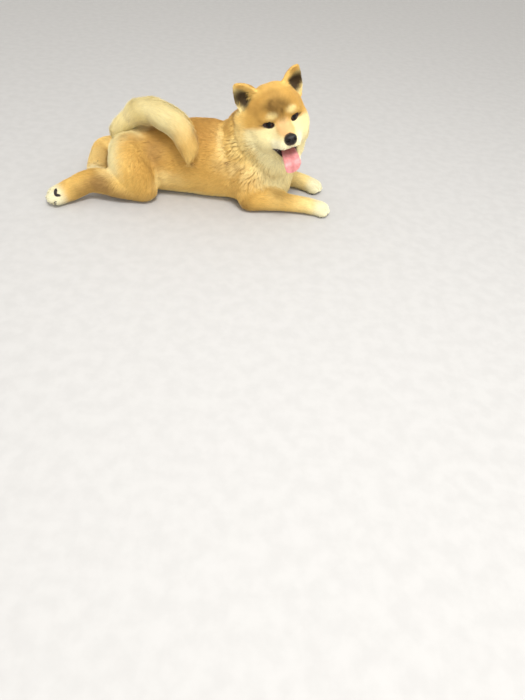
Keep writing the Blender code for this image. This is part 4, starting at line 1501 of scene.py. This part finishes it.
def lid_mesh(side, settings):
    """The rims of both lids round the almond-shaped opening, with their skin running under the coat."""
    centre, gaze, outward, upward = eye_axes(side)
    radius = settings.eye_radius / MM
    corner, upper, lower = (
        math.degrees(v) for v in (settings.opening_width / 2, settings.upper_lid, settings.lower_lid)
    )
    turns = 72
    rows = [
        # degrees outside the opening's edge, height over the eyeball in millimetres
        (-1.0, -0.5),
        (0.0, 0.45),
        (3.0, 1.05),
        (7.0, 1.25),
        (13.0, 1.15),
        (21.0, 0.7),
        (30.0, -0.2),
        (40.0, -1.6),
    ]
    points, edge_share = [], []
    for beyond, height in rows:
        for j in range(turns):
            turn = 2 * math.pi * j / turns
            across = corner * math.cos(turn)
            lift = math.sin(turn)
            tall = upper if lift > 0 else lower
            up = tall * math.copysign(abs(lift) ** 1.25, lift)
            # the inner corner is drawn down, the outer up
            up += 2.2 * math.cos(turn)
            across += beyond * math.cos(turn)
            up += beyond * lift
            a, b = math.radians(across), math.radians(up)
            way = gaze * math.cos(a) * math.cos(b) + outward * math.sin(a) * math.cos(b)
            points.append(centre + (way + upward * math.sin(b)) * (radius + height))
            edge_share.append(beyond)
    mesh = mesh_from("lids", from_head(points), band_faces(len(rows), turns))
    store(mesh, "from_edge", np.array(edge_share))
    shape = bmesh.new()
    shape.from_mesh(mesh)
    shape.normal_update()
    out = Vector(HEAD_AXES @ gaze)
    if sum((f.normal.dot(out) for f in shape.faces)) < 0:
        bmesh.ops.reverse_faces(shape, faces=shape.faces)
    shape.to_mesh(mesh)
    shape.free()
    local = to_head(points_of(mesh))
    colours = head_markings(np.tile(TAN, (len(local), 1)), local)
    store(mesh, "marking", colours, "FLOAT_COLOR")
    mesh.shade_smooth()
    return mesh


def nose_mesh(settings):
    """The nose leather: a broad rounded pad with comma-shaped nostrils and a groove to the lip."""
    rings, turns = 72, 96
    points, hollow = [], []
    for i in range(rings + 1):
        polar = math.pi * i / rings
        for j in range(turns):
            turn = 2 * math.pi * j / turns
            ahead = math.cos(polar)
            left = math.sin(polar) * math.cos(turn)
            up = math.sin(polar) * math.sin(turn)
            power = 0.86
            forms = [math.copysign(abs(v) ** power, v) for v in (ahead, left, up)]
            wide = 8.5 - 2.3 * float(soft_step(np.array(-up), -0.1, 0.95))
            deep = 6.9 - 1.2 * max(0.0, up) ** 2 - 0.8 * float(soft_step(np.array(-up), 0.3, 1.0))
            points.append((deep * forms[0], wide * forms[1], 6.9 * forms[2]))
    points = np.array(points)
    front = soft_step(points[:, 0], -1.0, 2.0)
    for side in SIDES:
        y = points[:, 1] * side
        z = points[:, 2]
        hole = np.exp(-(((y - 3.7) / 1.25) ** 2) - ((z + 0.4) / 1.15) ** 2)
        slit = np.exp(-(((y - 5.6) / 2.0) ** 2) - ((z + 1.5 - 0.30 * (y - 4.5)) / 0.62) ** 2)
        wing = np.exp(-(((y - 5.2) / 2.2) ** 2) - ((z - 2.9) / 1.5) ** 2)
        pit = np.clip(hole + 0.75 * slit * (y > 3.0), 0.0, 1.15) * front
        points[:, 0] -= 3.4 * pit
        points[:, 1] *= 1.0 - 0.03 * pit
        points[:, 0] += 0.55 * wing * front
        hollow.append(pit)
    groove = np.exp(-((points[:, 1] / 0.55) ** 2)) * soft_step(points[:, 2], 1.5, -1.5) * front
    points[:, 0] -= 0.9 * groove
    turn = settings.nose_tilt
    turned = points @ np.array(
        [(math.cos(turn), 0, math.sin(turn)), (0, 1, 0), (-math.sin(turn), 0, math.cos(turn))]
    )
    mesh = mesh_from("nose", from_head(turned + NOSE_PLACE), band_faces(rings + 1, turns))
    # how far the nostrils and the groove sink in, which the nose's material paints as shade
    store(mesh, "hollow", np.maximum(hollow[0], hollow[1]) + 0.5 * groove)
    return cleaned(mesh, weld=True)


def tongue_mesh():
    """The tongue, out of the mouth over the lower lip, with its groove and thin rippled edges."""
    rows = smooth_rows(TONGUE, 8)
    ahead = unit(np.gradient(rows[:, :3], axis=0))
    across = np.array((0.0, 1.0, 0.0))
    turns = np.linspace(0.0, 2 * math.pi, 64, endpoint=False)
    rings, side_share, top_share, along = [], [], [], []
    shares = np.linspace(0.0, 1.0, len(rows))
    tip_rows = [(0.30, 0.95), (0.55, 0.83), (0.76, 0.65), (0.91, 0.41), (0.98, 0.20), (1.0, 0.06)]
    frames = [(r[:3], a, r[3], r[4], s) for r, a, s in zip(rows, ahead, shares)]
    last = rows[-1]
    for forward, size in tip_rows:
        centre = last[:3] + ahead[-1] * TONGUE_END * forward
        frames.append((centre, ahead[-1], last[3] * size, last[4] * (0.4 + 0.6 * size), 1.0))
    start = rows[0]
    frames.insert(0, (start[:3] - ahead[0] * 2.0, ahead[0], start[3] * 0.5, start[4] * 0.4, 0.0))
    for centre, way, wide, thick, share in frames:
        over = unit(np.cross(way, across))
        cos, sin = np.cos(turns), np.sin(turns)
        groove = np.exp(-((cos / 0.13) ** 2)) * (sin > 0)
        edge = 1.0 + 0.008 * np.sin(5.0 * share * math.pi + 2.0) * np.abs(cos)
        curl = 0.9 * cos**2 * soft_step(np.array(share), 0.35, 0.75)
        hollow = 0.25 * thick * np.exp(-((cos / 0.5) ** 2)) * (sin > 0)
        height = thick * sin * (1.0 - 0.15 * cos**2) - 0.7 * groove + curl - hollow
        rings.append(centre + np.outer(wide * cos * edge, across) + np.outer(height, over))
        side_share.append(cos)
        top_share.append(sin)
        along.append(np.full(len(turns), share))
    mesh = mesh_from("tongue", *tube([from_head(r) for r in rings]))
    store(mesh, "side_share", np.concatenate(side_share))
    store(mesh, "top_share", np.concatenate(top_share))
    store(mesh, "along", np.concatenate(along))
    return cleaned(mesh)


def joined(name, parts):
    """One mesh from several (points, faces) parts."""
    points, faces = [], []
    for more, corners in parts:
        faces += [[i + len(points) for i in face] for face in corners]
        points += [tuple(p) for p in more]
    return cleaned(mesh_from(name, points, faces))


def dome(centre, facing, along, half, rings=14, turns=28):
    """A rounded pad, flatter than a ball, set with its face to one side."""
    facing = unit(np.array(facing))
    along = unit(np.array(along) - facing * (np.array(along) @ facing))
    across = np.cross(facing, along)
    points = []
    for i in range(rings + 1):
        polar = math.pi * i / rings
        up = math.copysign(abs(math.cos(polar)) ** 0.8, math.cos(polar))
        out = math.sin(polar) ** 0.8
        for j in range(turns):
            turn = 2 * math.pi * j / turns
            points.append(
                np.array(centre)
                + MM
                * (
                    along * half[0] * out * math.cos(turn)
                    + across * half[1] * out * math.sin(turn)
                    + facing * half[2] * up
                )
            )
    return points, band_faces(rings + 1, turns)


def pads_mesh(tree):
    """The leathery pads that show under the toes and on the turned-up hind foot."""
    parts = []
    for centre, facing, along, half in BARE_PADS:
        parts.append(dome(tree.find_nearest(Vector(centre))[0], facing, along, half))
    for name in ("forepaw_right", "forepaw_left"):
        wrist, toes, sole = (np.array(v) for v in PAWS[name])
        forward = unit((toes - wrist) * (1, 1, 0))
        across = np.cross(forward, (0, 0, 1))
        for place in TOES:
            centre = toes + across * place * TOE_SPREAD + forward * (7.0 - abs(place) * TOE_SETBACK) * MM
            centre[2] = 1.9 * MM
            parts.append(dome(centre, sole, forward, (4.0, 2.6, 1.5)))
    return joined("pads", parts)


def claw(root, way, curve, length, radius, sides=10, steps=9):
    """A tapered claw that bends towards the sole."""
    rings, centre = [], np.array(root)
    for step in range(steps + 1):
        share = step / steps
        ahead = unit(way + curve * share * 0.9)
        side = unit(np.cross(ahead, curve))
        over = np.cross(side, ahead)
        size = radius * (1.0 - share) ** 0.6 + 0.04 * MM
        rings.append(ring(centre, size, side, over, sides, 0.75))
        centre = centre + ahead * length / steps
    points, faces = tube(rings)
    points[:, 2] = np.maximum(points[:, 2], CLAW_GAP)
    return points, faces


def claws_mesh(tree, length):
    """Four small claws on each paw, just clear of the hair of the toes."""
    parts = []
    for name in PAWS:
        toes, forward, sole, across = paw_axes(name)
        for place in TOES:
            start = toes + across * place * TOE_SPREAD - forward * abs(place) * TOE_SETBACK * MM
            start = start + sole * 1.0 * MM
            if name.startswith("forepaw"):
                start[2] = 5.6 * MM
            found = tree.ray_cast(Vector(start), Vector(forward), 0.05)[0]
            root = np.array(found) if found is not None else start + forward * 15 * MM
            splay = unit(forward + across * place * 0.12 - sole * 0.25)
            parts.append(claw(root - splay * 1.5 * MM, splay, sole, length + 1.5 * MM, 1.15 * MM))
    return joined("claws", parts)


def whiskers_mesh(tree, draw, settings):
    """Fine tapered whiskers on the muzzle and over the eyes."""
    parts = []
    places = []
    for side in SIDES:
        for row in range(4):
            for step in range(4):
                place = np.array((18.0 + 2.6 * step - 0.8 * row, side * 17.0, -17.5 - 2.6 * row))
                way = unit(np.array((-0.55, side * 1.0, -0.16 - 0.14 * row)))
                places.append((place, way, 0.75 + 0.25 * (step < 2)))
        for step in range(3):
            place = np.array((1.0 + 3.0 * step, side * (18.0 - 4.5 * step), 10.5))
            way = unit(np.array((-0.1, side * 0.35, 1.0)))
            places.append((place, way, 0.42))
    for place, way, share in places:
        start = from_head(place[None] + way * 12.0 * (1, 1, 0.3))[0]
        inward = HEAD_AXES @ (-way * (1.0, 1.0, 0.2))
        found = tree.ray_cast(Vector(start), Vector(inward), 0.04)[0]
        if found is None:
            continue
        root = np.array(found)
        way = HEAD_AXES @ unit(way + draw.normal(0.0, 0.08, 3))
        length = settings.whisker_length * share * draw.uniform(0.75, 1.1)
        droop = np.array((0.0, 0.0, -0.18))
        sides, steps = 5, 7
        rings, centre = [], root - way * 0.6 * MM
        for step in range(steps + 1):
            part = step / steps
            ahead = unit(way + droop * part * 1.4)
            across = unit(np.cross(ahead, (0.1, 0.2, 1.0)))
            over = np.cross(across, ahead)
            size = settings.whisker_width / 2 * (1.0 - 0.86 * part)
            rings.append(ring(centre, size, across, over, sides))
            centre = centre + ahead * length / steps
        parts.append(tube(rings))
    return joined("whiskers", parts)


# Materials of the bare pieces


def ramp(tree, value, *stops):
    """Colours along a value from 0 to 1, each stop a place and a colour."""
    made = node(tree, "ValToRGB")
    line = made.color_ramp
    line.interpolation = "EASE"
    line.elements[0].position, line.elements[1].position = stops[0][0], stops[-1][0]
    for place, _ in stops[1:-1]:
        line.elements.new(place)
    for element, (_, colour) in zip(line.elements, stops):
        element.color = (*[float(c) for c in colour], 1.0)
    tree.links.new(value, made.inputs[0])
    return made.outputs[0]


def eye_material(settings):
    """A dark wet eye, from pupil through iris to its rim."""
    made, tree, shader = material(
        "wet_eye", Roughness=0.2, Specular_IOR_Level=0.05, Coat_Weight=0.3, Coat_Roughness=0.02
    )
    polar = math_node(tree, "DIVIDE", read(tree, "from_pupil", "Fac"), 60.0)
    fibres = node(tree, "TexNoise", Scale=9.0, Detail=5.0, Roughness=0.7)
    tree.links.new(read(tree, "round_pupil", "Vector"), fibres.inputs["Vector"])
    iris = np.array(settings.iris)
    pupil, edge = settings.pupil_angle, settings.iris_angle
    stops = (
        (0.0, (0.0015, 0.0015, 0.002)),
        (math.degrees(pupil) / 60, (0.0015, 0.0015, 0.002)),
        (math.degrees(pupil) / 60 + 0.05, iris * 0.7),
        (math.degrees(edge) / 60 - 0.12, iris),
        (math.degrees(edge) / 60, iris * 0.12),
        (math.degrees(edge) / 60 + 0.10, np.array((0.055, 0.034, 0.026))),
        (1.0, np.array((0.13, 0.085, 0.065))),
    )
    colour = ramp(tree, polar, *stops)
    light = math_node(tree, "ADD", math_node(tree, "MULTIPLY", fibres.outputs[0], 0.9), 0.5)
    toned = node(tree, "HueSaturation")
    tree.links.new(light, toned.inputs["Value"])
    tree.links.new(colour, toned.inputs["Color"])
    tree.links.new(toned.outputs[0], shader.inputs["Base Color"])
    bump(tree, shader, fibres.outputs[0], 0.00004, 0.3)
    return made


def lid_material(tone):
    """Dark rims, then short hair over the lids in the colours of the face."""
    made, tree, shader = material("eyelid", Specular_IOR_Level=0.4)
    hairs = texture(tree, "TexNoise", Scale=1100.0, Detail=3.0)
    # the short hair on the lids takes a little painted shade towards its roots
    group = placed_group(
        tree, tone, Marking=read(tree, "marking"), Along=0.6, Own=hairs.outputs[0], Root_shade=0.4, Spread=0.5
    )
    beyond = math_node(tree, "DIVIDE", read(tree, "from_edge", "Fac"), 40.0, True)
    uneven = math_node(tree, "MULTIPLY", math_node(tree, "SUBTRACT", hairs.outputs[0], 0.5), 0.10)
    beyond = math_node(tree, "ADD", beyond, uneven, True)
    rim = ramp(tree, beyond, (0.0, (1, 1, 1)), (0.10, (1, 1, 1)), (0.22, (0, 0, 0)))
    colour = mixed(tree, rim, group.outputs["Color"], LIP * 0.55)
    tree.links.new(colour, shader.inputs["Base Color"])
    rough = math_node(tree, "MULTIPLY", rim, -0.30)
    tree.links.new(math_node(tree, "ADD", rough, 0.65), shader.inputs["Roughness"])
    bump(tree, shader, hairs.outputs[0], 0.0002, 0.5)
    return made


def leather_material(grain, name, colour, size, wetness, depth):
    """Black pebbled leather of the nose and pads."""
    made, tree, shader = material(name, Specular_IOR_Level=0.28)
    group = placed_group(tree, grain, Size=size, Wetness=wetness)
    # painted light on the tops of the pebbles and painted shade in the cracks between them
    shade = ramp(
        tree, group.outputs["Shade"], (0.0, np.array(colour) * 1.5), (0.75, np.array(colour) * 0.55)
    )
    if name == "nose_leather":
        # the nostrils and the groove down to the lip are painted near black: painted shade in their hollows
        hollow = read(tree, "hollow", "Fac")
        shade = mixed(tree, math_node(tree, "MULTIPLY", hollow, 0.9, True), shade, (0.002, 0.0015, 0.0015))
    tree.links.new(shade, shader.inputs["Base Color"])
    tree.links.new(group.outputs["Roughness"], shader.inputs["Roughness"])
    bump(tree, shader, group.outputs["Height"], depth, 0.7)
    return made


def tongue_material(settings):
    """Wet pink tongue, with painted shade in its groove and where it goes back inside the mouth."""
    made, tree, shader = material(
        "wet_tongue", Specular_IOR_Level=0.5, Subsurface_Weight=0.15, Subsurface_Scale=0.002
    )
    buds = texture(tree, "TexVoronoi", Scale=1500.0)
    mottle = texture(tree, "TexNoise", Scale=260.0, Detail=4.0)
    pink = np.array(settings.tongue_colour)
    base = ramp(tree, mottle.outputs[0], (0.3, pink * (0.85, 0.78, 0.78)), (0.7, pink * (1.05, 1.1, 1.1)))
    # painted shade along the groove down the tongue's middle
    top = math_node(tree, "POWER", math_node(tree, "ABSOLUTE", read(tree, "side_share", "Fac")), 0.5)
    groove = math_node(tree, "SUBTRACT", 1.0, top)
    groove = math_node(tree, "MULTIPLY", groove, read(tree, "top_share", "Fac"), True)
    base = mixed(tree, math_node(tree, "MULTIPLY", groove, 0.6), base, pink * (0.62, 0.45, 0.45))
    # painted shade where the tongue goes back into the mouth
    inside = math_node(tree, "SUBTRACT", 0.30, read(tree, "along", "Fac"))
    inside = math_node(tree, "MULTIPLY", inside, 3.0, True)
    base = mixed(tree, inside, base, pink * (0.30, 0.16, 0.16))
    tree.links.new(base, shader.inputs["Base Color"])
    rough = math_node(tree, "ADD", math_node(tree, "MULTIPLY", mottle.outputs[0], 0.30), 0.22)
    tree.links.new(rough, shader.inputs["Roughness"])
    height = math_node(tree, "SUBTRACT", 1.0, buds.outputs["Distance"])
    bump(tree, shader, height, 0.00025, 0.6)
    return made


def fine_material(name, dark, pale, scale, roughness):
    """Claw horn and whisker: two close tones run together by fine noise."""
    made, tree, shader = material(name, Specular_IOR_Level=0.28)
    grain = texture(tree, "TexNoise", Scale=scale, Detail=4.0)
    colour = ramp(tree, grain.outputs[0], (0.3, dark), (0.7, pale))
    tree.links.new(colour, shader.inputs["Base Color"])
    rough = math_node(tree, "ADD", math_node(tree, "MULTIPLY", grain.outputs[0], 0.2), roughness)
    tree.links.new(rough, shader.inputs["Roughness"])
    return made


# Sizes and colours that a user would change


class PuppySkin(bpy.types.PropertyGroup):
    grain: FloatProperty(
        name="Grain",
        description="Size of the skin's faces; smaller keeps finer folds and takes longer",
        default=1.3 * MM,
        min=0.8 * MM,
        unit="LENGTH",
    )
    rounds: IntProperty(
        name="Smoothing", description="How often the skin is evened out over its joins", default=10, min=1
    )


class PuppyCoat(bpy.types.PropertyGroup):
    seed: IntProperty(name="Seed", description="Another number gives another fall of the hair", default=7)
    density: FloatProperty(
        name="Density",
        description="Tufts on each square millimetre, as a factor of the usual",
        default=1.0,
        min=0.1,
        subtype="FACTOR",
    )
    length: FloatProperty(
        name="Length", description="Length of the hair, as a factor of the usual", default=1.0, min=0.2
    )
    width: FloatProperty(
        name="Width", description="Width of each tuft, as a factor of the usual", default=1.0, min=0.2
    )
    locks: FloatProperty(
        name="Locks", description="How strongly the tufts run together", default=1.0, min=0.0, max=2.0
    )
    lock_size: FloatProperty(
        name="Tufts in a lock", description="How many tufts run together into a lock", default=11.0, min=1.0
    )


class PuppyFace(bpy.types.PropertyGroup):
    eye_radius: FloatProperty(
        name="Eyeball radius", description="Radius of each eyeball", default=7.6 * MM, unit="LENGTH"
    )
    iris: FloatVectorProperty(
        name="Iris", description="Colour of the iris", default=(0.050, 0.022, 0.010), subtype="COLOR"
    )
    iris_angle: FloatProperty(
        name="Iris edge",
        description="Angle from the middle of the pupil to the iris's outer edge",
        default=math.radians(43.0),
        unit="ROTATION",
    )
    pupil_angle: FloatProperty(
        name="Pupil edge",
        description="Angle from the middle of the pupil to its edge",
        default=math.radians(19.0),
        unit="ROTATION",
    )
    opening_width: FloatProperty(
        name="Opening of the lids",
        description="Angle between the corners of each eye, seen from its middle",
        default=math.radians(104.0),
        unit="ROTATION",
    )
    upper_lid: FloatProperty(
        name="Upper lid",
        description="Angle from the gaze up to the upper lid",
        default=math.radians(25.0),
        unit="ROTATION",
    )
    lower_lid: FloatProperty(
        name="Lower lid",
        description="Angle from the gaze down to the lower lid",
        default=math.radians(24.0),
        unit="ROTATION",
    )
    nose_tilt: FloatProperty(
        name="Nose tilt",
        description="How far the front of the nose leans back from upright",
        default=math.radians(12.0),
        unit="ROTATION",
    )
    nose_wetness: FloatProperty(
        name="Nose wetness",
        description="How wet the nose is",
        default=0.6,
        min=0.0,
        max=1.0,
        subtype="FACTOR",
    )
    tongue_colour: FloatVectorProperty(
        name="Tongue", description="Colour of the tongue", default=(0.72, 0.29, 0.28), subtype="COLOR"
    )
    whisker_length: FloatProperty(
        name="Whisker length", description="Length of the longest whiskers", default=15 * MM, unit="LENGTH"
    )
    whisker_width: FloatProperty(
        name="Whisker width", description="Width of a whisker at its root", default=0.20 * MM, unit="LENGTH"
    )
    claw_length: FloatProperty(
        name="Claw length",
        description="How far each claw stands out of its toe",
        default=3.4 * MM,
        unit="LENGTH",
    )


class PuppyStage(bpy.types.PropertyGroup):
    floor: FloatVectorProperty(
        name="Floor", description="Colour of the floor", default=(0.50, 0.49, 0.475), subtype="COLOR"
    )
    key_power: FloatProperty(
        name="Key light", description="Power of the large light overhead", default=16.0, min=0.0, unit="POWER"
    )
    fill_power: FloatProperty(
        name="Fill light", description="Power of the light at the front", default=7.5, min=0.0, unit="POWER"
    )
    sky: FloatProperty(
        name="Room light", description="Strength of the even light all round", default=0.95, min=0.0
    )


# The pieces


class PUPPY_OT_skin(bpy.types.Operator):
    """Make the puppy's skin, one surface in place of all the nodes of flesh."""

    bl_idname = "puppy.skin"
    bl_label = "Skin"

    def execute(self, context):
        settings = context.scene.puppy_skin
        mesh, nodes, room = skin_mesh(settings.grain, settings.rounds)
        points, normals = points_of(mesh), normals_of(mesh)
        none = bare(points, normals, nodes)
        store(mesh, "marking", markings(points, normals, nodes, edges_of(mesh)), "FLOAT_COLOR")
        store(mesh, "bareness", none)
        # where the skin is bare its colour is near black: partly the lips' own dark skin, partly painted
        # shade inside the open mouth
        store(mesh, "flesh", np.tile(LIP, (len(points), 1)), "FLOAT_COLOR")
        store(mesh, "length_of_body", nodes)
        store(mesh, "coat_room", room)
        store(mesh, "hairless", np.maximum(none, near_pads(points)))
        mesh.shade_smooth()
        piece("skin", mesh, skin_material(hair_tone_and_root_shade_group()), "tan_coat", *NODES)
        return {"FINISHED"}


class PUPPY_OT_coat(bpy.types.Operator):
    """Grow the coat of tufts over the skin, a piece for each region of the body."""

    bl_idname = "puppy.coat"
    bl_label = "Coat"

    def execute(self, context):
        skin = bpy.data.objects["skin"]
        tone = bpy.data.node_groups["Hair tone and root shade"]
        finish = coat_material(tone)
        slots = {"coat_tail": "pale_coat", "coat_paws": "pale_coat", "coat_forelegs": "cream_coat"}
        for name, mesh in grow_coat(skin, context.scene.puppy_coat):
            slot = slots.get(name.removesuffix("_right").removesuffix("_left"), "tan_coat")
            piece(name, mesh, finish, slot)
        for helper in ("length_of_body", "coat_room", "hairless"):
            skin.data.attributes.remove(skin.data.attributes[helper])
        return {"FINISHED"}


class PUPPY_OT_eyes(bpy.types.Operator):
    """Make both eyeballs and the lids round them."""

    bl_idname = "puppy.eyes"
    bl_label = "Eyes"

    def execute(self, context):
        settings = context.scene.puppy_face
        glass = eye_material(settings)
        lids = lid_material(bpy.data.node_groups["Hair tone and root shade"])
        for side, name in SIDES.items():
            ball = eyeball_mesh(side, settings.eye_radius / MM)
            piece(f"eye_{name}_ball", ball, glass, "eye", "eye_" + name)
            piece(f"eye_{name}_lids", lid_mesh(side, settings), lids, "tan_coat")
        return {"FINISHED"}


class PUPPY_OT_nose(bpy.types.Operator):
    """Make the nose leather with its nostrils."""

    bl_idname = "puppy.nose"
    bl_label = "Nose"

    def execute(self, context):
        settings = context.scene.puppy_face
        grain = moist_grain_group()
        finish = leather_material(grain, "nose_leather", LEATHER, 1300.0, settings.nose_wetness, 0.00022)
        piece("nose_pad", nose_mesh(settings), finish, "nose_leather", "nose")
        return {"FINISHED"}


class PUPPY_OT_tongue(bpy.types.Operator):
    """Make the tongue that hangs over the lower lip."""

    bl_idname = "puppy.tongue"
    bl_label = "Tongue"

    def execute(self, context):
        settings = context.scene.puppy_face
        piece("tongue_out", tongue_mesh(), tongue_material(settings), "tongue", "tongue")
        return {"FINISHED"}


class PUPPY_OT_paws(bpy.types.Operator):
    """Make the pads and claws of the paws."""

    bl_idname = "puppy.paws"
    bl_label = "Pads and claws"

    def execute(self, context):
        settings = context.scene.puppy_face
        tree = tree_of(bpy.data.objects["skin"].data)
        grain = bpy.data.node_groups["Leather grain"]
        leather = leather_material(grain, "pad_leather", (0.030, 0.023, 0.022), 1000.0, 0.15, 0.00025)
        piece("paw_pads", pads_mesh(tree), leather, "nose_leather")
        horn = fine_material("claw_horn", (0.020, 0.015, 0.012), (0.07, 0.052, 0.040), 500.0, 0.22)
        piece("claws", claws_mesh(tree, settings.claw_length), horn, "nose_leather")
        return {"FINISHED"}


class PUPPY_OT_whiskers(bpy.types.Operator):
    """Make the fine whiskers of the muzzle and brows."""

    bl_idname = "puppy.whiskers"
    bl_label = "Whiskers"

    def execute(self, context):
        settings = context.scene.puppy_face
        tree = tree_of(bpy.data.objects["skin"].data)
        draw = np.random.default_rng(context.scene.puppy_coat.seed + 1)
        hair = fine_material("whisker_hair", (0.62, 0.52, 0.40), (0.85, 0.80, 0.70), 700.0, 0.35)
        piece("whiskers", whiskers_mesh(tree, draw, settings), hair, "pale_coat")
        return {"FINISHED"}


class PUPPY_OT_stage(bpy.types.Operator):
    """Make the pale floor, the soft light and the camera at the photograph's angle."""

    bl_idname = "puppy.stage"
    bl_label = "Stage"

    def execute(self, context):
        settings = context.scene.puppy_stage
        scene = context.scene
        corners = [(x * FLOOR_REACH, y * FLOOR_REACH, 0) for x, y in ((-1, -1), (1, -1), (1, 1), (-1, 1))]
        floor = new_object("floor", mesh_from("floor", corners, [(0, 1, 2, 3)]))
        made, tree, shader = material("pale_floor", Specular_IOR_Level=0.2)
        grain = texture(tree, "TexNoise", Scale=60.0, Detail=6.0)
        base = np.array(settings.floor)
        tree.links.new(
            ramp(tree, grain.outputs[0], (0.3, base * 0.97), (0.7, base * 1.03)), shader.inputs["Base Color"]
        )
        rough = math_node(tree, "ADD", math_node(tree, "MULTIPLY", grain.outputs[0], 0.1), 0.75)
        tree.links.new(rough, shader.inputs["Roughness"])
        floor.data.materials.append(made)

        world = bpy.data.worlds.new("room")
        world.use_nodes = True
        world.node_tree.nodes["Background"].inputs[0].default_value = (1.0, 0.985, 0.96, 1.0)
        world.node_tree.nodes["Background"].inputs[1].default_value = settings.sky
        scene.world = world
        for name, power, place, size in (
            ("key", settings.key_power, (0.25, -0.70, 1.35), 0.45),
            ("fill", settings.fill_power, (0.75, -1.25, 0.30), 1.4),
        ):
            lamp = bpy.data.lights.new(name, "AREA")
            lamp.energy, lamp.shape, lamp.size = power, "DISK", size
            light = new_object(name, lamp)
            light.location = place
            aim = LIGHTS_AIM - Vector(place)
            light.rotation_euler = aim.to_track_quat("-Z", "Y").to_euler()

        # the camera stands where the photograph was taken from, at its lens and framing
        down = Vector((*STRAIGHT_DOWN, FOCAL)).normalized()
        ahead = (Vector((0, 0, 1)) - down * down.z).normalized()
        right = down.cross(ahead)
        camera = bpy.data.cameras.new("camera")
        camera.sensor_fit, camera.sensor_height = "VERTICAL", SENSOR_HEIGHT
        camera.lens = SENSOR_HEIGHT * FOCAL / PHOTO_HEIGHT
        seen = new_object("camera", camera)
        turn = Matrix((right, ahead, -down)).transposed()
        seen.matrix_world = Matrix.Translation(CAMERA_PLACE) @ Matrix(
            [[turn[0][k], -turn[1][k], -turn[2][k]] for k in range(3)]
        ).to_4x4()
        scene.camera = seen
        scene.view_settings.view_transform = "Standard"
        return {"FINISHED"}


class PUPPY_PT_panel(bpy.types.Panel):
    """The puppy's pieces and their settings, in the 3D view's sidebar."""

    bl_idname = "PUPPY_PT_panel"
    bl_label = "Puppy"
    bl_space_type = "VIEW_3D"
    bl_region_type = "UI"
    bl_category = "Puppy"

    def draw(self, context):
        layout = self.layout
        for operator in OPERATORS:
            layout.operator(operator.bl_idname)
        for name, group in SETTINGS.items():
            box = layout.box()
            settings = getattr(context.scene, name)
            for key in group.__annotations__:
                box.prop(settings, key)


SETTINGS = {
    "puppy_skin": PuppySkin,
    "puppy_coat": PuppyCoat,
    "puppy_face": PuppyFace,
    "puppy_stage": PuppyStage,
}
OPERATORS = (
    PUPPY_OT_skin,
    PUPPY_OT_coat,
    PUPPY_OT_eyes,
    PUPPY_OT_nose,
    PUPPY_OT_tongue,
    PUPPY_OT_paws,
    PUPPY_OT_whiskers,
    PUPPY_OT_stage,
)


def register():
    for group in SETTINGS.values():
        bpy.utils.register_class(group)
    for name, group in SETTINGS.items():
        setattr(bpy.types.Scene, name, PointerProperty(type=group))
    for shown in (*OPERATORS, PUPPY_PT_panel):
        bpy.utils.register_class(shown)


def unregister():
    for shown in reversed((*OPERATORS, PUPPY_PT_panel)):
        bpy.utils.unregister_class(shown)
    for name, group in SETTINGS.items():
        delattr(bpy.types.Scene, name)
        bpy.utils.unregister_class(group)


def main():
    register()
    for operator in OPERATORS:
        group, name = operator.bl_idname.split(".")
        getattr(getattr(bpy.ops, group), name)()


if __name__ == "__main__":
    main()
